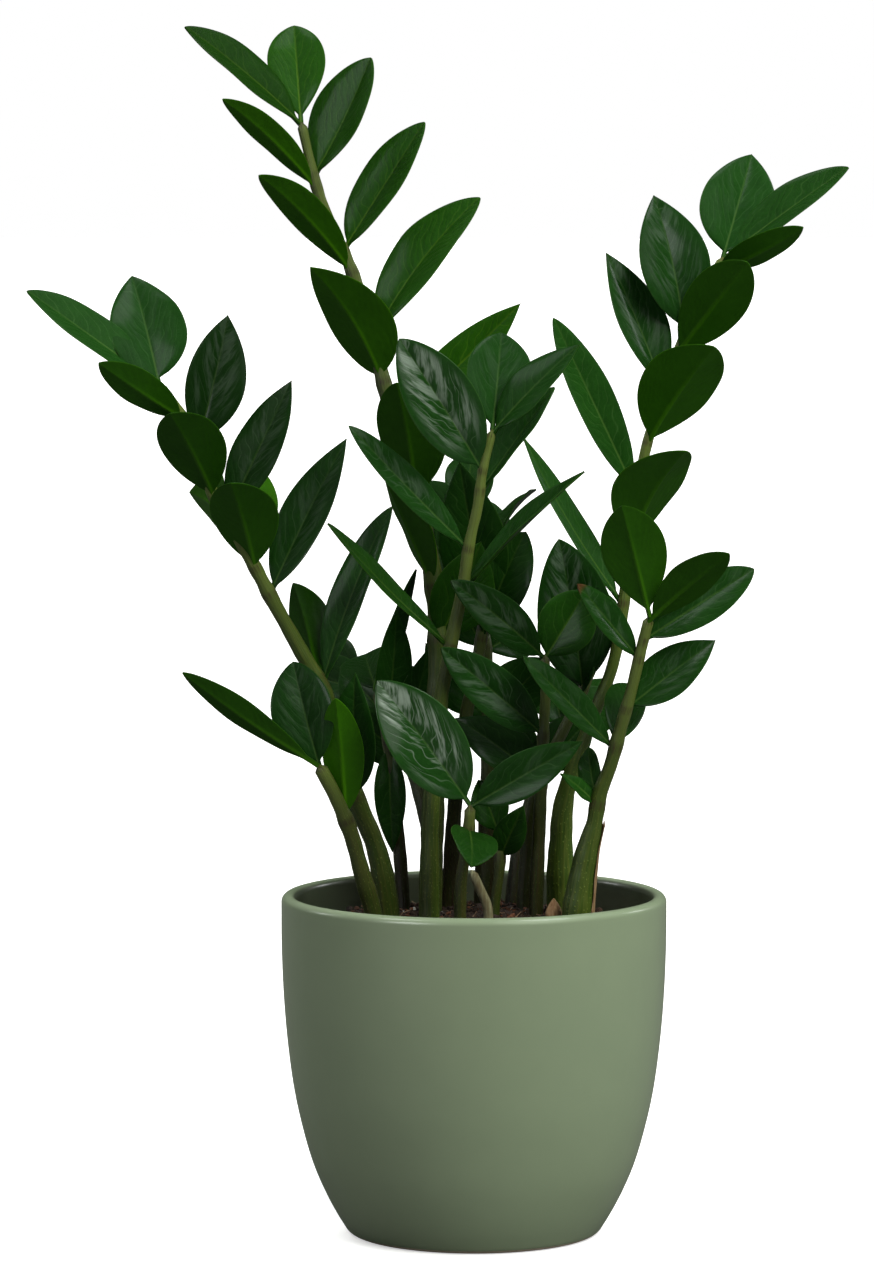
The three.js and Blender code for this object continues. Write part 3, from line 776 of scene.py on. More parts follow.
def ease_group():
    """Turns a leaflet's normal part of the way to its whole face, as light that shines through it does."""
    name = "Eased normal"
    if name in bpy.data.node_groups:
        return bpy.data.node_groups[name]
    graph, given, made = new_group(name, ["Flat*", "Share"], ["Normal*"])
    way = {"vector_type": "NORMAL", "convert_from": "OBJECT", "convert_to": "WORLD"}
    flat = graph.add("ShaderNodeVectorTransform", {0: given["Flat"]}, **way).outputs[0]
    own = graph.add("ShaderNodeNewGeometry").outputs["Normal"]
    inputs = {0: given["Share"], 4: own, 5: flat}
    mixed_normal = graph.add("ShaderNodeMix", inputs, data_type="VECTOR").outputs[1]
    eased = graph.add("ShaderNodeVectorMath", {0: mixed_normal}, operation="NORMALIZE").outputs[0]
    graph.feed(made["Normal"], eased)
    return graph.tree


def new_finish(name, **sockets):
    """A material with one Principled shader. Plain values go on the shader's own sockets."""
    material = bpy.data.materials.new(name)
    material.use_nodes = True
    graph = Graph(material.node_tree)
    shader = material.node_tree.nodes["Principled BSDF"]
    for socket, value in sockets.items():
        shader.inputs[socket.replace("_", " ")].default_value = value
    return material, graph, shader


# --- Finishes -------------------------------------------------------------------------------


def glaze_finish(pot):
    """Satin sage glaze: faint clouds, tiny pits, a paler lip, and an inside darkened by painted shade."""
    material, graph, shader = new_finish("sage_glaze", Coat_Weight=0.25, Coat_Roughness=0.12)
    place = graph.place()
    clouds = graph.mottle(place, 14.0, 1.6)
    base = graph.blend(clouds, scaled(pot.glaze, 0.95), scaled(pot.glaze, 1.05, 1.04, 1.03))
    _, _, height = graph.parts(place)
    lip = graph.step(height, (POT_HEIGHT - LIP_PALE) * MM, POT_HEIGHT * MM)
    base = graph.blend(graph.times(lip, 0.3), base, scaled(pot.glaze, 1.3))
    # Painted shade: the inside of the pot is coloured much darker, where the foliage and the rim keep light
    # out.
    inside_shade, _, _ = graph.parts(graph.mark("share"))
    base = graph.blend(graph.times(inside_shade, 0.76), base, scaled(pot.glaze, 0.1, 0.09, 0.08))
    pits = graph.step(graph.cells(place, 420.0), 0.03, 0.09, 1.0, 0.0)
    base = graph.blend(graph.times(pits, 0.35), base, scaled(pot.glaze, 0.6))
    rough = graph.times_plus(clouds, 0.08, pot.roughness - 0.04)
    relief = graph.times_plus(pits, -0.2, graph.noise(place, 55.0, 2.0))
    graph.dress(shader, base, rough, relief, 0.00022)
    return material


def clay_finish():
    """The bare, pale clay of the foot ring."""
    material, graph, shader = new_finish("bare_clay")
    grain = graph.mottle(graph.place(), 160.0, 2.0)
    base = graph.blend(grain, (0.42, 0.34, 0.25), (0.56, 0.48, 0.37))
    graph.dress(shader, base, graph.times_plus(grain, 0.15, 0.75), grain, 0.0003)
    return material


def leaf_tones(graph, base):
    """Lightens and yellows a leaflet by its tones; lightness also paints shade and light shining through."""
    light, yellow, brown = graph.parts(graph.mark("tone"))
    base = graph.blend(yellow, base, graph.blend(1.0, base, YELLOWING, "MULTIPLY"))
    return graph.blend(1.0, base, light, "MULTIPLY"), brown


def scorched(graph, base, brown, part):
    """The leaflet's colour with its tip as brown as its mesh says."""
    return graph.blend(graph.times(brown, graph.step(part, 0.9, 0.97)), base, SCORCHED)


def upper_finish(fronds):
    """The waxy upper face: clouded dark green, pale midrib, veins and margin, painted glints and painted
    sheen.
    """
    material, graph, shader = new_finish("leaflet_upper", Specular_IOR_Level=0.05, Coat_Roughness=0.16)
    blade = graph.mark("blade")
    side, part, sheen = graph.parts(graph.mark("share"))
    out = graph.maths("ABSOLUTE", side)
    veins = graph.leaf_veins(blade, fronds, 0.75)
    clouds = graph.mottle(blade, 0.11, 2.4)
    dark = scaled(fronds.upper, 0.75, 0.82, 0.75)
    base = graph.blend(clouds, dark, scaled(fronds.upper, 1.25, 1.16, 1.25))

    # Side veins fade towards the margin and the petiole.
    fade = graph.times(graph.step(out, 0.6, 0.95, 1.0, 0.0), graph.step(part, 0.0, 0.2))
    patchy = graph.times(fade, graph.step(veins["Streak"], 0.3, 0.6, 0.3, 1.0))
    line = graph.times(veins["Side vein"], patchy, 0.38)
    base = graph.blend(line, base, scaled(fronds.upper, 5.0, 2.4, 6.0))
    base = graph.blend(graph.times(veins["Net"], 0.07), base, scaled(fronds.upper, 3.4, 2.0, 4.0))
    grain = graph.noise(blade, 1.6, 2.0)
    # Pale specks painted as tiny glints of light on the wax.
    painted_glints = graph.step(grain, 0.55, 0.75, 0.0, 0.3)
    base = graph.blend(painted_glints, base, scaled(fronds.upper, 2.6, 1.9, 3.4))
    rib = graph.times(veins["Midrib"], graph.step(part, 0.1, 1.0, 0.8, 0.2))
    base = graph.blend(rib, base, scaled(fronds.upper, 5.5, 2.4, 4.5))
    margin = graph.times(graph.step(out, 0.955, 0.995), 0.5)
    base = graph.blend(margin, base, scaled(fronds.upper, 4.5, 2.3, 4.5))
    base, brown = leaf_tones(graph, base)

    # The painted sheen highlight lies between midrib and margin, in streaks and along the side veins; its
    # strength also thickens the coat.
    inner = graph.times(graph.step(out, 0.0, 0.2, 0.7, 1.0), graph.step(out, 0.5, 0.9, 1.0, 0.0))
    where = graph.times(inner, graph.step(part, 0.12, 0.45))
    streaks = graph.step(veins["Painted sheen"], 0.45, 0.63)
    streaks = graph.maths("MAXIMUM", streaks, graph.times(veins["Side vein"], 0.45))
    base = graph.blend(graph.times(streaks, where, sheen, 0.82), base, PAINTED_SHEEN)
    base = scorched(graph, base, brown, part)
    graph.feed(shader.inputs["Coat Weight"], graph.times_plus(sheen, 0.7, 0.07))
    rough = graph.times_plus(veins["Side vein"], 0.08, graph.times_plus(clouds, 0.12, 0.4))

    swell = graph.times(veins["Swell"], fade, 0.25)
    streaky = graph.times(veins["Streak"], graph.times(fade, 0.7))
    relief = graph.times_plus(clouds, 0.35, graph.maths("ADD", streaky, swell))
    relief = graph.times_plus(veins["Net"], -0.04, relief)
    relief = graph.times_plus(grain, 0.09, relief)
    graph.dress(shader, base, rough, relief, 0.0005, Normal=graph.eased_normal(0.4))
    return material


def under_finish(fronds):
    """The smoother, more olive underside, with a broad pale midrib that fades to the tip."""
    material, graph, shader = new_finish("leaflet_underside", Specular_IOR_Level=0.08)
    blade = graph.mark("blade")
    side, part, _ = graph.parts(graph.mark("share"))
    veins = graph.leaf_veins(blade, fronds, 1.7)
    clouds = graph.mottle(blade, 0.06, 1.8)
    base = graph.blend(clouds, scaled(fronds.under, 0.85), scaled(fronds.under, 1.2, 1.15, 1.1))
    base = graph.blend(graph.times(veins["Side vein"], 0.1), base, scaled(fronds.under, 0.6))
    rib = graph.times(veins["Midrib"], graph.step(part, 0.0, 0.95, 0.9, 0.05))
    base = graph.blend(rib, base, scaled(fronds.under, 2.4, 1.9, 1.4))
    margin = graph.step(graph.maths("ABSOLUTE", side), 0.96, 0.995)
    base = graph.blend(graph.times(margin, 0.4), base, scaled(fronds.under, 3.4, 2.6, 3.0))
    base, brown = leaf_tones(graph, base)
    base = scorched(graph, base, brown, part)
    relief = graph.times_plus(veins["Swell"], 0.15, clouds)
    rough = graph.times_plus(clouds, 0.1, 0.4)
    graph.dress(shader, base, rough, relief, 0.0003, Normal=graph.eased_normal(0.6))
    return material


def stalk_finish(fronds):
    """Stalks: green at the foot with pale flecks, khaki higher up, and brown where leaflets leave."""
    material, graph, shader = new_finish("stalk", Specular_IOR_Level=0.3)
    turn, rise, seed = graph.parts(graph.mark("blade"))
    _, part, near = graph.parts(graph.mark("share"))
    light, red, _ = graph.parts(graph.mark("tone"))
    drawn = graph.vector(graph.times(turn, 3.0), graph.times(rise, 0.03), seed)
    streaks = graph.noise(drawn, 1.6, 3.0)
    base = graph.blend(graph.step(part, 0.1, 0.75), scaled(fronds.stalk, 0.55, 0.72, 0.4), fronds.stalk)
    base = graph.blend(graph.step(part, 0.5, 0.95, 0.0, 0.8), base, scaled(fronds.stalk, 2.4, 2.2, 2.6))
    base = graph.blend(graph.step(streaks, 0.35, 0.7, 0.0, 0.5), base, scaled(fronds.stalk, 1.5, 1.2, 1.0))
    low = graph.step(rise, 10.0, 95.0, 1.0, 0.0)
    flush = graph.times(low, red, graph.step(streaks, 0.3, 0.7, 0.3, 1.0))
    base = graph.blend(flush, base, RED_FOOT)
    spots = graph.vector(graph.times(turn, 4.5), graph.times(rise, 0.55), seed)
    fewer = graph.step(rise, 20.0, 150.0, 0.55, 0.1)
    flecks = graph.times(graph.step(graph.cells(spots, 0.9), 0.1, 0.28, 1.0, 0.0), fewer)
    base = graph.blend(flecks, base, scaled(fronds.stalk, 2.6, 2.4, 2.2))
    torn = graph.step(streaks, 0.4, 0.6, 0.2, 0.7)
    scar = graph.times(graph.step(near, 0.5, 3.2, 1.0, 0.0), torn)
    base = graph.blend(scar, base, SCAR)
    # The stalk's lightness also paints shade: stalks deep in the plant are darker, as if in shadow.
    base = graph.blend(1.0, base, light, "MULTIPLY")
    relief = graph.times_plus(flecks, 0.5, streaks)
    graph.dress(shader, base, graph.times_plus(streaks, 0.25, 0.36), relief, 0.0005)
    return material


def soil_finish(name, dark, pale, fineness):
    """Soil and the bits on it: a grainy mix of a dark and a pale colour."""
    material, graph, shader = new_finish(name)
    grain = graph.mottle(graph.place(), fineness, 3.0)
    rough = graph.times_plus(grain, -0.15, 0.95)
    graph.dress(shader, graph.blend(grain, dark, pale), rough, grain, 0.0008)
    return material


def dry_finish(name, paper):
    """Dry papery tissue, with brown streaks and speckles."""
    material, graph, shader = new_finish(name)
    place = graph.place()
    x, y, z = graph.parts(place)
    fibres = graph.noise(graph.vector(x, y, graph.times(z, 0.12)), 620.0, 3.0)
    patches = graph.mottle(place, 120.0, 3.0)
    base = graph.blend(graph.step(fibres, 0.35, 0.7), scaled(paper, 0.45, 0.38, 0.32), scaled(paper, 1.1))
    base = graph.blend(graph.times(patches, 0.6), base, scaled(paper, 0.35, 0.26, 0.2))
    graph.dress(shader, base, graph.times_plus(patches, 0.2, 0.65), fibres, 0.0005)
    return material


# --- Meshes ---------------------------------------------------------------------------------


class Shell:
    """Collects the surfaces of one piece, in millimetres, and makes its mesh."""

    def __init__(self):
        self.points = []
        self.faces = []
        self.finishes = []
        self.marks = {name: [] for name in MARKS}
        self.count = 0

    def add(self, points, faces, finishes=0, **marks):
        """Points as an array, faces as lists of their own indices, and the finish's number of all of them
        or of each face.
        """
        points = np.asarray(points, float).reshape(-1, 3)
        self.points.append(points)
        self.faces.extend([[i + self.count for i in face] for face in faces])
        self.finishes.extend(np.broadcast_to(finishes, len(faces)).tolist())
        for name in MARKS:
            values = marks.get(name, np.zeros(3))
            self.marks[name].append(np.broadcast_to(values, points.shape))
        self.count += len(points)

    def piece(self, name, finishes, marked=False):
        """The object, in metres, with smooth shading and, where asked for, the marks for its materials."""
        mesh = bpy.data.meshes.new(name)
        mesh.from_pydata((np.concatenate(self.points) * MM).tolist(), [], self.faces)
        for finish in finishes:
            mesh.materials.append(finish)
        mesh.polygons.foreach_set("material_index", self.finishes)
        mesh.shade_smooth()
        for mark in MARKS if marked else ():
            attribute = mesh.attributes.new(mark, "FLOAT_VECTOR", "POINT")
            attribute.data.foreach_set("vector", np.concatenate(self.marks[mark]).astype(np.float32).ravel())
        if mesh.validate():
            raise RuntimeError(f"{name} has stray faces")
        return shown(name, mesh)


def shown(name, data):
    """A new object in the scene, with that mesh, lamp or camera."""
    thing = bpy.data.objects.new(name, data)
    bpy.context.scene.collection.objects.link(thing)
    return thing


def keep(piece, node):
    """The piece rides with the plant and stands in for its CAD node, which it hides."""
    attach(piece, "root")
    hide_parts(node)


def tube_faces(rings, count):
    """Quads between closed rings of points, seen from outside."""
    faces = []
    for ring in range(rings - 1):
        for j in range(count):
            a = ring * count + j
            b = ring * count + (j + 1) % count
            faces.append((a, b, b + count, a + count))
    return faces


def end_faces(rings, columns):
    """Quads that close both ends of a flat tube, whose rings run along one side and back on the other."""
    faces = []
    count = 2 * columns
    last = (rings - 1) * count
    for j in range(columns - 1):
        a, b, c, d = j, j + 1, count - 2 - j, count - 1 - j
        faces.append((d, c, b, a))
        faces.append((last + a, last + b, last + c, last + d))
    return faces


def lathe(profile, sides):
    """A closed surface turned round Z. The profile goes out from the axis and back to it, as [radius, z]."""
    turns = np.arange(sides) * 2 * math.pi / sides
    inner = profile[1:-1]
    rings = [np.stack([r * np.cos(turns), r * np.sin(turns), np.full(sides, float(z))], 1) for r, z in inner]
    points = np.concatenate([*rings, [[0, 0, profile[0][1]], [0, 0, profile[-1][1]]]])
    faces = tube_faces(len(inner), sides)
    low, high = len(points) - 2, len(points) - 1
    last = (len(inner) - 1) * sides
    for j in range(sides):
        k = (j + 1) % sides
        faces.append((low, k, j))
        faces.append((high, last + j, last + k))
    return points, faces


def mixed(first, second, start, end, now):
    share = (now - start) / (end - start)
    return first * (1 - share) + second * share


def smooth_line(points, spacing):
    """A centripetal Catmull-Rom line through points, about as many millimetres apart as spacing says."""
    knots = np.asarray(points, float)
    knots = np.vstack([2 * knots[0] - knots[1], knots, 2 * knots[-1] - knots[-2]])
    line = []
    for p0, p1, p2, p3 in zip(knots, knots[1:], knots[2:], knots[3:]):
        t0 = 0
        t1 = t0 + np.linalg.norm(p1 - p0) ** 0.5
        t2 = t1 + np.linalg.norm(p2 - p1) ** 0.5
        t3 = t2 + np.linalg.norm(p3 - p2) ** 0.5
        steps = max(2, round(np.linalg.norm(p2 - p1) / spacing))
        for now in np.linspace(t1, t2, steps, endpoint=False):
            a1 = mixed(p0, p1, t0, t1, now)
            a2 = mixed(p1, p2, t1, t2, now)
            a3 = mixed(p2, p3, t2, t3, now)
            b1 = mixed(a1, a2, t0, t2, now)
            b2 = mixed(a2, a3, t1, t3, now)
            line.append(mixed(b1, b2, t1, t2, now))
    line.append(knots[-2])
    return np.array(line)


def flat_line(points, spacing):
    """A smooth line through [radius, z] points."""
    return smooth_line([[r, z, 0] for r, z in points], spacing)[:, :2].tolist()


def arc(x, y, radius, start, end, steps):
    """Points on a circle round x, y, from one angle to another in degrees."""
    angles = np.radians(np.linspace(start, end, steps + 1))
    return [[x + radius * math.cos(a), y + radius * math.sin(a)] for a in angles]


def unit(vector):
    return vector / np.linalg.norm(vector)


def turned(vector, axis, degrees):
    """The vector turned about an axis that it stands square to."""
    angle = math.radians(degrees)
    return vector * math.cos(angle) + np.cross(axis, vector) * math.sin(angle)


def grown(part, over):
    """Goes from 0 at the root to 1 at that part of the length."""
    return np.clip(part / over, 0, 1)


def ridge(away, half):
    """The height of a soft ridge, 1 at its middle."""
    return np.exp(-((away / half) ** 2))


# --- Pot ------------------------------------------------------------------------------------


def radius_at(outline, height):
    """The radius of an outline of [height, radius] points at one height or several."""
    heights, radii = zip(*outline)
    return np.interp(height, heights, radii)


INSIDE_OUTLINE = [[z, radius_at(POT_OUTLINE, z) - POT_WALL] for z in INSIDE_LEVELS]
INSIDE_OUTLINE.append([POT_OUTLINE[-1][0], RIM_RADIUS - POT_WALL])


def pot_profile():
    """From the middle of the foot, up the outside, over the lip and down the inside to the floor."""
    lip = POT_WALL / 2
    edge = FOOT_RADIUS - FOOT_RING
    foot = [[0, FOOT_HOLLOW], [edge - FOOT_SLOPE, FOOT_HOLLOW]]
    foot += [[edge - 0.3 * FOOT_SLOPE, 0.6 * FOOT_HOLLOW], [edge, 0]]
    round_foot = arc(FOOT_RADIUS, FOOT_ROUND, FOOT_ROUND, -90, FOOT_ROUND_END, FOOT_ROUND_STEPS)
    outside = flat_line([round_foot[-1], *[[r, z] for z, r in POT_OUTLINE]], OUTSIDE_SPACING)[1:]
    over = arc(RIM_RADIUS - lip, POT_HEIGHT - lip, lip, 0, 180, LIP_STEPS)[1:]
    inside = flat_line([[r, z] for z, r in reversed(INSIDE_OUTLINE)], INSIDE_SPACING)[1:]
    corner = [FLOOR_RADIUS - FLOOR_CORNER, POT_FLOOR + FLOOR_CORNER, FLOOR_CORNER]
    floor = [*arc(*corner, 0, -90, CORNER_STEPS), [0, POT_FLOOR]]
    return [*foot, *round_foot, *outside, *over, *inside, *floor]


def build_pot(settings):
    shell = Shell()
    points, faces = lathe(pot_profile(), settings.sides)
    bare = [int(max(points[i][2] for i in face) < BARE_CLAY) for face in faces]
    height = points[:, 2]
    depth = radius_at(POT_OUTLINE, height) - np.hypot(points[:, 0], points[:, 1])
    inside_shade = np.clip(depth - LIP_INSIDE, 0, 1) * (height > POT_OUTLINE[0][0])
    shell.add(points, faces, bare, share=np.outer(inside_shade, [1, 0, 0]))
    pot = shell.piece("glazed_pot", [glaze_finish(settings), clay_finish()], marked=True)
    keep(pot, "pot")


# --- Soil -----------------------------------------------------------------------------------


def soil_height(x, y):
    """The top of the soil: a low mound with soft lumps."""
    r = np.hypot(x, y) / radius_at(INSIDE_OUTLINE, SOIL_LEVEL)
    lumps = np.sin(x * 0.31 + 1.3) * np.cos(y * 0.27 - 0.6) + 0.6 * np.sin(x * 0.13 - y * 0.19)
    return SOIL_LEVEL - SOIL_FALL * r**3 + SOIL_LUMP * lumps * (1 - 0.5 * r)


def rough_ground(x, y):
    """How far the soil's crust stands above its soft lumps."""
    fineness, height = CLODS
    clods = height * noise.fractal(Vector((x * fineness, y * fineness, 3.1)), 1.0, 2.2, 4)
    fineness, height = GRIT
    return clods + height * noise.noise(Vector((x * fineness, y * fineness, 7.7)))


def soil_body():
    """A closed body that fills the pot, with a lumpy crust on top."""
    wall = [[radius_at(INSIDE_OUTLINE, z) - SOIL_GAP, z] for z in SOIL_WALL_LEVELS]
    low = POT_FLOOR + SOIL_GAP
    rim = radius_at(INSIDE_OUTLINE, SOIL_LEVEL - SOIL_FALL) - SOIL_GAP
    crust = [[rim * i / SOIL_RINGS, SOIL_LEVEL] for i in range(SOIL_RINGS, 0, -1)]
    profile = [[0, low], [SOIL_FLOOR_RADIUS, low], *wall, *crust, [0, SOIL_LEVEL]]
    points, faces = lathe(profile, SOIL_SIDES)
    for point in points:
        if point[2] == SOIL_LEVEL:
            point[2] = soil_height(point[0], point[1]) + rough_ground(point[0], point[1])
    return points, faces


def crumb(chance, kind, size):
    """One bit that lies on the soil: points round its own middle, and faces."""
    shape = bmesh.new()
    if kind == "fibre":
        bmesh.ops.create_cone(shape, cap_ends=True, segments=5, radius1=0.16, radius2=0.1, depth=1)
        thickness = size * FIBRE_THICKNESS
        stretch = np.array([thickness, thickness, size * chance.uniform(*FIBRE_LENGTHS)])
    else:
        bmesh.ops.create_icosphere(shape, subdivisions=1, radius=0.5)
        stretch = size * np.array([1.0, chance.uniform(*CRUMB_WIDTHS), CRUMBS[kind][2]])
    points = np.array([v.co[:] for v in shape.verts])
    faces = [[v.index for v in face.verts] for face in shape.faces]
    shape.free()
    points = points * (1 + chance.uniform(-CRUMB_ROUGHNESS, CRUMB_ROUGHNESS, (len(points), 1))) * stretch
    if kind == "fibre":
        points = points[:, [2, 0, 1]]
    tilt = chance.normal(0, CRUMB_TILT, 2)
    spin = chance.uniform(0, 2 * math.pi)
    c, s = math.cos(spin), math.sin(spin)
    points = points @ np.array([[c, s, 0], [-s, c, 0], [0, 0, 1]])
    points[:, 2] += points[:, 0] * tilt[0] + points[:, 1] * tilt[1]
    return points, faces


def scatter_crumbs(shell, settings):
    """Bits all over the soil, but none where a stalk stands."""
    chance = np.random.default_rng(7)
    kinds = list(CRUMBS)
    shares = [share for share, _, _ in CRUMBS.values()]
    reach = radius_at(INSIDE_OUTLINE, SOIL_LEVEL - SOIL_FALL) - CRUMB_MARGIN
    stems = [(frond["stalk"][0], frond["radii"][0]) for frond in FRONDS.values()]
    for _ in range(settings.crumbs):
        kind = kinds[chance.choice(len(kinds), p=shares)]
        size = settings.crumb_size / MM * chance.lognormal(0, CRUMB_SPREAD) * CRUMBS[kind][1]
        far = reach * math.sqrt(chance.uniform())
        turn = chance.uniform(0, 2 * math.pi)
        x, y = far * math.cos(turn), far * math.sin(turn)
        points, faces = crumb(chance, kind, size)
        if any(math.hypot(x - px, y - py) < radius for (px, py, _), radius in stems):
            continue
        lift = CRUMB_LIFT * size * chance.uniform(*CRUMB_LIFTS)
        z = soil_height(x, y) + rough_ground(x, y) + lift
        shell.add(points + [x, y, z], faces, kinds.index(kind) + 1)


def build_soil(settings):
    shell = Shell()
    shell.add(*soil_body())
    scatter_crumbs(shell, settings)
    dark = scaled(settings.colour, 0.45)
    finishes = [
        soil_finish("potting_soil", dark, scaled(settings.colour, 1.7), 260.0),
        soil_finish("humus", dark, scaled(settings.colour, 2.0, 1.8, 1.6), 420.0),
        soil_finish("bark", (0.05, 0.018, 0.008), (0.16, 0.065, 0.03), 330.0),
        soil_finish("perlite", (0.52, 0.5, 0.45), (0.78, 0.76, 0.7), 600.0),
        soil_finish("fibre", (0.14, 0.08, 0.04), (0.32, 0.22, 0.13), 300.0),
    ]
    keep(shell.piece("potting_mix", finishes), "soil")


# --- Fronds ---------------------------------------------------------------------------------


class Stalk:
    """The middle line of a frond's stalk, and its thickness."""

    def __init__(self, frond):
        x, y = frond["stalk"][0][:2]
        middle = (STALK_FOOT + STALK_LEAN) / 2
        self.line = smooth_line([[x, y, STALK_FOOT], [x, y, middle], *frond["stalk"]], 1.0)
        steps = np.linalg.norm(np.diff(self.line, axis=0), axis=1)
        self.arcs = np.concatenate([[0], np.cumsum(steps)])
        self.length = self.arcs[-1]
        self.radii = frond["radii"]
        self.neck = frond.get("neck", NECK)

    def at(self, along):
        """The point as many millimetres along the stalk."""
        return np.array([np.interp(along, self.arcs, self.line[:, axis]) for axis in range(3)])

    def direction(self, along):
        return unit(self.at(min(self.length, along + 1)) - self.at(max(0, along - 1)))

    def along_to(self, height):
        """How far along the stalk it first reaches a height."""
        return float(np.interp(height, self.line[:, 2], self.arcs))

    def radius(self, along):
        foot, slim, top = self.radii
        rise = along - (STALK_LEAN - STALK_FOOT)
        swell = math.cos(math.pi / 2 * max(0, rise / self.neck)) ** 2 if rise < self.neck else 0
        taper = max(0, rise - self.neck) / (self.length - self.neck)
        return slim + (foot - slim) * swell + (top - slim) * taper


def leaf_shape(part, form):
    """Half the width of a leaflet at a part of its blade's length, as a share of its widest."""
    base, tip = FORMS[form]
    widest = base / (base + tip)
    peak = widest**base * (1 - widest) ** tip
    inside = np.clip(part, 0, 1)
    return inside**base * (1 - inside) ** tip / peak


def leaf_axes(reach, turn):
    """The direction of a leaflet, its upper face's normal, and the direction across it."""
    along = unit(reach)
    front = np.array([0.0, -1.0, 0.0])
    face = turned(unit(front - along * (front @ along)), along, turn)
    return along, face, np.cross(face, along)


def half_widths(part, width, form):
    """Half the width of a leaflet all along it, with its petiole and a tip that isn't sharp."""
    blade = (part - PETIOLE_PART) / (1 - PETIOLE_PART)
    least = np.where(part < 0.5, PETIOLE_HALF, LEAF_TIP_HALF)
    return np.maximum(least, width / 2 * leaf_shape(blade, form))


def leaf_bend(part, side, half, wave, chance):
    """How far each point lies across the leaflet, and how far it rises: fold, cup, waves and twist."""
    fold = math.radians(LEAF_FOLD)
    out = np.abs(side)
    rise = half * math.sin(fold) * (LEAF_CUP * out + (1 - LEAF_CUP) * out**2)
    waves = chance.uniform(*LEAF_WAVES, 2)
    starts = chance.uniform(0, 2 * math.pi, 2)
    first, second = (np.sin(2 * math.pi * n * part + start) for n, start in zip(waves, starts))
    height = wave * chance.uniform(*WAVE_HEIGHTS)
    rise = rise + height * out**2 * np.sin(math.pi * part) * np.where(side > 0, first, second)
    twist = np.radians(chance.uniform(-LEAF_TWIST, LEAF_TWIST)) * (part - TWIST_CENTRE)
    shift = side * half * math.cos(fold)
    cos, sin = np.cos(twist), np.sin(twist)
    return shift * cos - rise * sin, shift * sin + rise * cos


def leaf_faces(columns):
    """The faces of a leaflet, and the finish of each: 1 on its upper face, 2 elsewhere."""
    count = 2 * columns
    tube = tube_faces(LEAF_STATIONS, count)
    ends = end_faces(LEAF_STATIONS, columns)
    finishes = [1 if j % count < columns - 1 else 2 for j in range(len(tube))]
    return tube + ends, finishes + [2] * len(ends)


def add_leaflet(shell, stalk, row, tone, chance, settings):
    """A closed, slightly folded and cupped blade, thick at its root, with a groove over its midrib."""
    height, dx, dy, dz, width, turn, form, bow = [*row, *LEAF_DEFAULTS[len(row) - 6:]]
    root = stalk.at(stalk.along_to(height))
    reach = np.array([dx, dy, dz], float)
    length = np.linalg.norm(reach)
    along, face, across = leaf_axes(reach, turn)
    part = ((1 - np.cos(np.linspace(0, math.pi, LEAF_STATIONS))) / 2)[:, None]
    side = np.array([*LEAF_COLUMNS[:0:-1], *[-column for column in LEAF_COLUMNS]])[None, :]
    half = half_widths(part, width, form)
    shift, rise = leaf_bend(part, side, half, settings.wave / MM, chance)
    rise = bow * length * 4 * part * (1 - part) + rise

    thick = np.maximum(settings.blade / MM, PETIOLE_BLADE - part * PETIOLE_THINNING)
    power = ROOT_POWER + (BLADE_POWER - ROOT_POWER) * grown(part - POWER_FROM, POWER_OVER)
    hull = thick / 2 * np.sqrt(np.maximum(0, 1 - np.abs(side) ** power)) + LEAF_EDGE
    away = side * half
    groove = GROOVE_DEPTH * ridge(away, GROOVE_HALF) * grown(part, GROOVE_START) * (1 - part)
    rib = RIB_DEPTH * ridge(away, RIB_HALF) * (1 - part) ** RIB_FADE * grown(part, RIB_START)

    def surface(lift):
        off = (rise - thick / 2 + lift)[..., None]
        return root + along * (length * part)[..., None] + across * shift[..., None] + face * off

    points = np.concatenate([surface(hull - groove), surface(-hull - rib)[:, ::-1]], axis=1)
    columns = side.shape[1]
    both = np.concatenate([side, side[:, ::-1]], axis=1)
    ones = np.ones((LEAF_STATIONS, 2 * columns))
    marks = {
        "blade": [both * half, part * length * ones, chance.uniform(0, 100) * ones],
        "share": [both * ones, part * ones, tone[3] * ones],
        "tone": [value * ones for value in tone[:3]],
    }
    marks = {name: np.stack(values, -1).reshape(-1, 3) for name, values in marks.items()}
    marks["flat"] = np.tile(np.repeat([face, -face], columns, axis=0), (LEAF_STATIONS, 1))
    shell.add(points, *leaf_faces(columns), **marks)


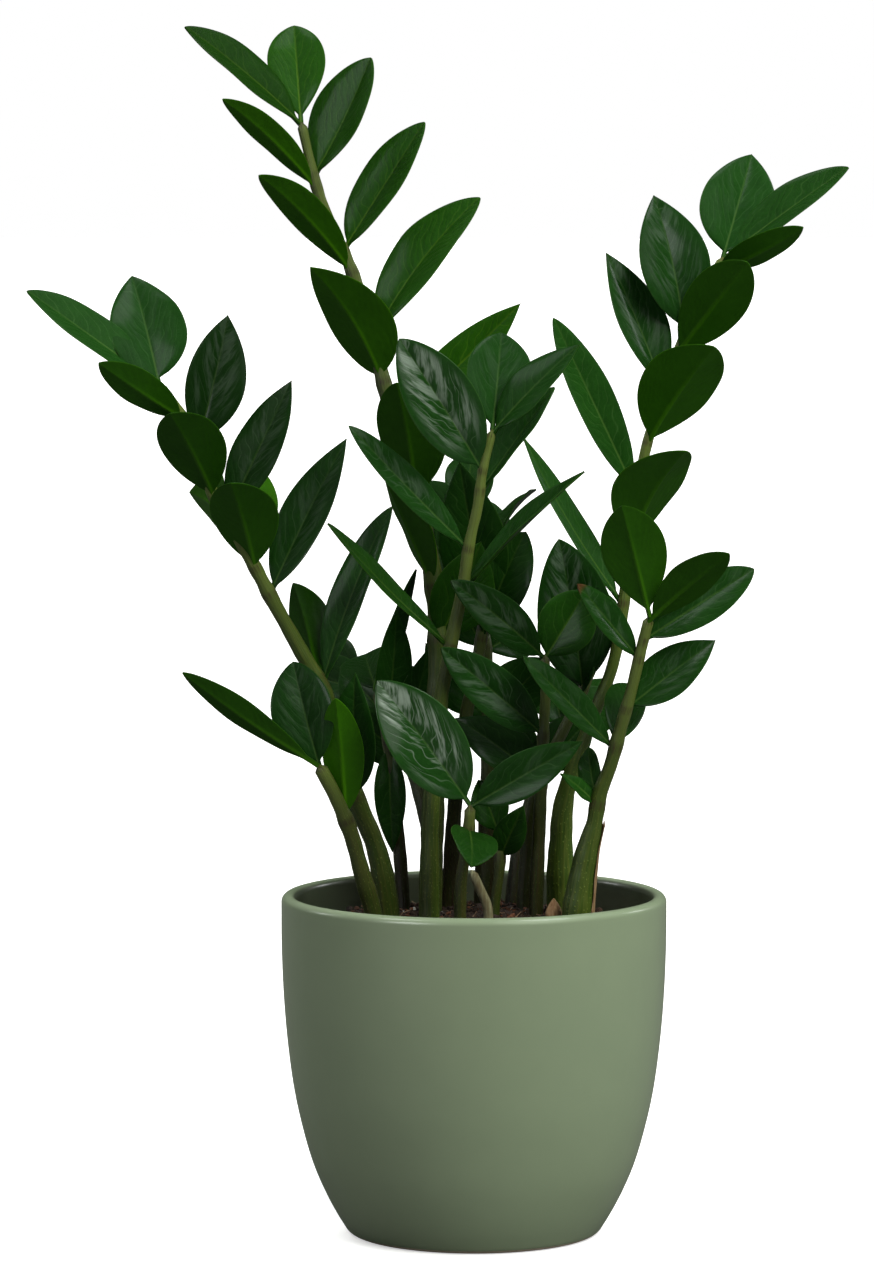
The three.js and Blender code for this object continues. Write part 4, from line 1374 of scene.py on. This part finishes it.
def add_stalk(shell, frond, stalk, tone, chance):
    """A round stalk, a little uneven, that swells at each leaflet and closes to a blunt tip."""
    steps = math.ceil(stalk.length / STALK_STEP)
    joints = [stalk.along_to(row[0]) for row in frond["leaves"]]
    turns = np.arange(STALK_SIDES) * 2 * math.pi / STALK_SIDES
    lean = chance.uniform(0, 2 * math.pi)
    seed = chance.uniform(0, 100)
    rings, blades, shares = [], [], []
    soil = STALK_LEAN - STALK_FOOT
    for along in np.linspace(0, stalk.length, steps + 1):
        centre, direction = stalk.at(along), stalk.direction(along)
        side = unit(np.cross([0.0, 1.0, 0.0], direction))
        front = np.cross(direction, side)
        near = min([abs(along - joint) for joint in joints], default=NO_LEAFLET_NEAR)
        radius = stalk.radius(along) * (1 + NODE_SWELL * math.exp(-((near / NODE_REACH) ** 2)))
        waver = 1
        for n, (share, pace) in enumerate(STALK_WAVERS, 1):
            waver += share * math.sin(along * pace + n * seed)
        radius *= waver
        left = stalk.length - along
        if left < TIP_TAPER:
            radius *= math.sqrt(max(TIP_LEAST, 1 - (1 - left / TIP_TAPER) ** 2))
        oval = radius * (1 + STALK_OVAL * np.cos(2 * turns + lean))
        rings.append(centre + np.outer(oval * np.cos(turns), side) + np.outer(oval * np.sin(turns), front))
        blades.append(np.stack([turns, np.full_like(turns, along - soil), np.full_like(turns, seed)], 1))
        shares.append(np.tile([0, max(0, along - soil) / (stalk.length - soil), near], (STALK_SIDES, 1)))
    faces = tube_faces(len(rings), STALK_SIDES)
    last = (len(rings) - 1) * STALK_SIDES
    faces.append(list(range(STALK_SIDES))[::-1])
    faces.append([last + j for j in range(STALK_SIDES)])
    marks = {"blade": np.concatenate(blades), "share": np.concatenate(shares), "tone": np.array(tone)}
    shell.add(rings, faces, **marks)


def build_fronds(settings):
    finishes = [stalk_finish(settings), upper_finish(settings), under_finish(settings)]
    for number, (name, frond) in enumerate(FRONDS.items()):
        chance = np.random.default_rng(100 + number)
        light, yellow, red, stalk_tone_and_shade = FROND_TONES[name]
        own_tones = LEAFLET_TONES.get(name, {})
        stalk = Stalk(frond)
        shell = Shell()
        add_stalk(shell, frond, stalk, [stalk_tone_and_shade, red, 0], chance)
        for i, row in enumerate(frond["leaves"]):
            # A frond's lightness also paints shade on fronds deep in the plant.
            usual = [light * chance.uniform(*LIGHT_SPREAD), yellow, 0, 0]
            add_leaflet(shell, stalk, row, own_tones.get(i, usual), chance, settings)
        keep(shell.piece(f"zz_{name}", finishes, marked=True), name)


# --- Dry pieces -----------------------------------------------------------------------------


def build_sheath(settings, finish):
    """The papery sheath that still hugs the right side of the thick right-front stalk."""
    stalk = Stalk(FRONDS["frond_right_front"])
    wall = settings.wall / MM
    side = np.linspace(-1, 1, SHEATH_COLUMNS)
    rings = []
    for part in np.linspace(0, 1, SHEATH_STATIONS):
        along = stalk.along_to(SHEATH_LOW + (SHEATH_HIGH - SHEATH_LOW) * part)
        loose = SHEATH_CLEARANCE + SHEATH_CURL * part**3
        ripple = SHEATH_RIPPLE * part * np.sin(side * 5 + part * 7)
        inner = stalk.radius(along) + SHEATH_LOOSENESS * loose + SHEATH_STANDOFF + ripple
        reach = SHEATH_REACH * (1 - SHEATH_NARROWING * part**2) + SHEATH_SWAY * math.sin(part * 19)
        angle = SHEATH_MIDDLE + side * math.radians(reach)
        ragged = part * SHEATH_RAGGED * np.sin(side * 8) if part == 1 else np.zeros(SHEATH_COLUMNS)
        outside, inside = (
            stalk.at(along) + np.stack([radius * np.cos(angle), radius * np.sin(angle), ragged], 1)
            for radius in (inner + wall, inner)
        )
        rings.append(np.concatenate([outside, inside[::-1]]))
    faces = tube_faces(SHEATH_STATIONS, 2 * SHEATH_COLUMNS) + end_faces(SHEATH_STATIONS, SHEATH_COLUMNS)
    shell = Shell()
    shell.add(rings, faces)
    keep(shell.piece("dry_sheath", [finish]), "sheath_leaf")


def build_stub(finish):
    """The cut, dried end of an old stalk."""
    shell = Shell()
    add_stalk(shell, STUB, Stalk(STUB), [1, 0, 0], np.random.default_rng(31))
    keep(shell.piece("dry_stub", [finish]), "stub")


def build_bud_scale(finish):
    """The tan scale of a bulb that shows on the soil."""
    x, y = BUD_PLACE
    points, faces = lathe(flat_line(BUD_OUTLINE, BUD_SPACING), BUD_SIDES)
    turns = np.arctan2(points[:, 1], points[:, 0])
    points[:, :2] *= 1 + BUD_RIDGE_HEIGHT * np.sin(BUD_RIDGES * turns)[:, None]
    points[:, 1] *= BUD_FLATNESS
    shell = Shell()
    shell.add(points + [x, y, soil_height(x, y) - BUD_SINK], faces)
    keep(shell.piece("dry_bud_scale", [finish]), "bud_scale")


# --- Stage ----------------------------------------------------------------------------------

EYE = (-18.2, -2620, 511.9)
PITCH_DOWN = 4.76
LENS = 150.45
SENSOR = 36

# What the camera shows, from near to far, and how far away the lamps stand, both in metres.
CLIP = (0.05, 500)
LAMP_DISTANCE = 2
FLOOR_SIDES = 96

# Soft lamps as if far away: strength, how wide the lamp looks, its azimuth from the front towards the
# right, its elevation (all angles in degrees), whether it shows in matt and in glossy surfaces, and its
# colour.
LAMPS = {
    "key": [3.0, 40, 42, 40, True, False, (1.0, 0.99, 0.95)],
    "key_box": [0.5, 40, 42, 36, False, True, (1.0, 1.0, 0.98)],
    "left_box": [1.2, 24, -42, 24, False, True, (0.96, 0.99, 1.0)],
    "top_right": [0.9, 22, 82, 64, True, True, (0.97, 0.99, 1.0)],
    "top_left": [0.65, 18, -82, 64, True, True, (0.97, 0.99, 1.0)],
    "left_back": [0.3, 12, -108, 24, True, True, (0.97, 0.99, 1.0)],
    "right_back": [0.25, 12, 122, 22, True, True, (0.97, 0.99, 1.0)],
    "back": [2.0, 44, 205, 32, True, False, (1.0, 0.99, 0.96)],
}

# How bright the dark studio is to matt and to glossy surfaces, how much of its colour the floor gives
# back to each of them, and how much white the camera sees in it besides.
AMBIENT = 0.12
AMBIENT_GLOSS = 0.02
FLOOR_BOUNCE = 0.26
FLOOR_GLOSS = 0.1
FLOOR_GLOW = 0.5


def seen_as(graph, matt, glossy, camera):
    """One colour for matt surfaces, one for glossy ones and one for the camera."""
    unseen = graph.blend(graph.ray("Is Glossy Ray"), matt, glossy)
    return graph.blend(graph.ray("Is Camera Ray"), unseen, camera)


def build_floor(settings):
    shape = bmesh.new()
    bmesh.ops.create_circle(shape, cap_ends=True, segments=FLOOR_SIDES, radius=settings.floor_radius)
    mesh = bpy.data.meshes.new("floor")
    shape.to_mesh(mesh)
    shape.free()
    material, graph, shader = new_finish("pale_floor", Roughness=0.9, Specular_IOR_Level=0.1)
    shader.inputs["Emission Strength"].default_value = 1.0
    bounce = scaled(settings.floor, FLOOR_BOUNCE)
    gloss = scaled(settings.floor, FLOOR_GLOSS)
    graph.feed(shader.inputs["Base Color"], seen_as(graph, bounce, gloss, settings.floor))
    glow = graph.blend(graph.ray("Is Camera Ray"), (0, 0, 0), (FLOOR_GLOW,) * 3)
    graph.feed(shader.inputs["Emission Color"], glow)
    mesh.materials.append(material)
    shown("floor", mesh)


def build_lights(strength):
    for name, (power, width, azimuth, elevation, matt, gloss, colour) in LAMPS.items():
        lamp = bpy.data.lights.new(name, "SUN")
        lamp.energy = power * strength
        lamp.angle = math.radians(width)
        lamp.color = colour
        light = shown(name, lamp)
        a, e = math.radians(azimuth), math.radians(elevation)
        towards = Vector((math.sin(a) * math.cos(e), -math.cos(a) * math.cos(e), math.sin(e)))
        light.rotation_euler = towards.to_track_quat("Z", "Y").to_euler()
        light.location = towards * LAMP_DISTANCE
        light.visible_diffuse = matt
        light.visible_glossy = gloss


def build_world(strength):
    """White where the camera sees past the floor, and a dim even light for everything else."""
    world = bpy.data.worlds.new("studio")
    world.use_nodes = True
    graph = Graph(world.node_tree)
    background = world.node_tree.nodes["Background"]
    dim = (AMBIENT * strength,) * 3
    gloss = (AMBIENT_GLOSS * strength,) * 3
    graph.feed(background.inputs["Color"], seen_as(graph, dim, gloss, (1, 1, 1)))
    bpy.context.scene.world = world


def build_camera():
    camera = bpy.data.cameras.new("photo")
    camera.lens = LENS
    camera.sensor_width = SENSOR
    camera.clip_start, camera.clip_end = CLIP
    eye = shown("photo", camera)
    eye.location = Vector(EYE) * MM
    eye.rotation_euler = (math.radians(90 - PITCH_DOWN), 0, 0)
    bpy.context.scene.camera = eye


# --- Operators and panel --------------------------------------------------------------------


class ZZ_OT_pot(bpy.types.Operator):
    """Build the glazed pot"""

    bl_idname = "zz_plant.pot"
    bl_label = "Pot"

    def execute(self, context):
        build_pot(context.scene.zz_pot)
        return {"FINISHED"}


class ZZ_OT_soil(bpy.types.Operator):
    """Build the potting soil and the bits that lie on it"""

    bl_idname = "zz_plant.soil"
    bl_label = "Soil"

    def execute(self, context):
        build_soil(context.scene.zz_soil)
        return {"FINISHED"}


class ZZ_OT_fronds(bpy.types.Operator):
    """Build every frond: its stalk and its leaflets"""

    bl_idname = "zz_plant.fronds"
    bl_label = "Fronds"

    def execute(self, context):
        build_fronds(context.scene.zz_fronds)
        return {"FINISHED"}


class ZZ_OT_dry(bpy.types.Operator):
    """Build the dry sheath, the stub and the bud scale"""

    bl_idname = "zz_plant.dry"
    bl_label = "Dry pieces"

    def execute(self, context):
        settings = context.scene.zz_dry
        finish = dry_finish("dry_leaf", settings.paper)
        build_sheath(settings, finish)
        build_stub(dry_finish("dry_stalk", settings.stub))
        build_bud_scale(dry_finish("bud_tissue", scaled(settings.paper, *BUD_PALENESS)))
        return {"FINISHED"}


class ZZ_OT_stage(bpy.types.Operator):
    """Set up the floor, the lamps and the camera"""

    bl_idname = "zz_plant.stage"
    bl_label = "Stage"

    def execute(self, context):
        settings = context.scene.zz_stage
        context.scene.view_settings.view_transform = "Standard"
        build_floor(settings)
        build_lights(settings.light)
        build_world(settings.light)
        build_camera()
        return {"FINISHED"}


class ZZ_PT_sidebar(bpy.types.Panel):
    """The plant's settings and the buttons that build it"""

    bl_idname = "ZZ_PT_sidebar"
    bl_label = "Potted ZZ plant"
    bl_space_type = "VIEW_3D"
    bl_region_type = "UI"
    bl_category = "ZZ plant"

    def draw(self, context):
        for (name, settings), operator in zip(SETTINGS.items(), OPERATORS):
            box = self.layout.box()
            group = getattr(context.scene, name)
            for setting in settings.__annotations__:
                box.prop(group, setting)
            box.operator(operator.bl_idname)


OPERATORS = (ZZ_OT_pot, ZZ_OT_soil, ZZ_OT_fronds, ZZ_OT_dry, ZZ_OT_stage)
CLASSES = (*SETTINGS.values(), *OPERATORS, ZZ_PT_sidebar)


def register():
    for cls in CLASSES:
        bpy.utils.register_class(cls)
    for name, settings in SETTINGS.items():
        setattr(bpy.types.Scene, name, PointerProperty(type=settings))


def unregister():
    for name in SETTINGS:
        delattr(bpy.types.Scene, name)
    for cls in reversed(CLASSES):
        bpy.utils.unregister_class(cls)


def main():
    register()
    bpy.ops.zz_plant.pot()
    bpy.ops.zz_plant.soil()
    bpy.ops.zz_plant.fronds()
    bpy.ops.zz_plant.dry()
    bpy.ops.zz_plant.stage()


if __name__ == "__main__":
    main()
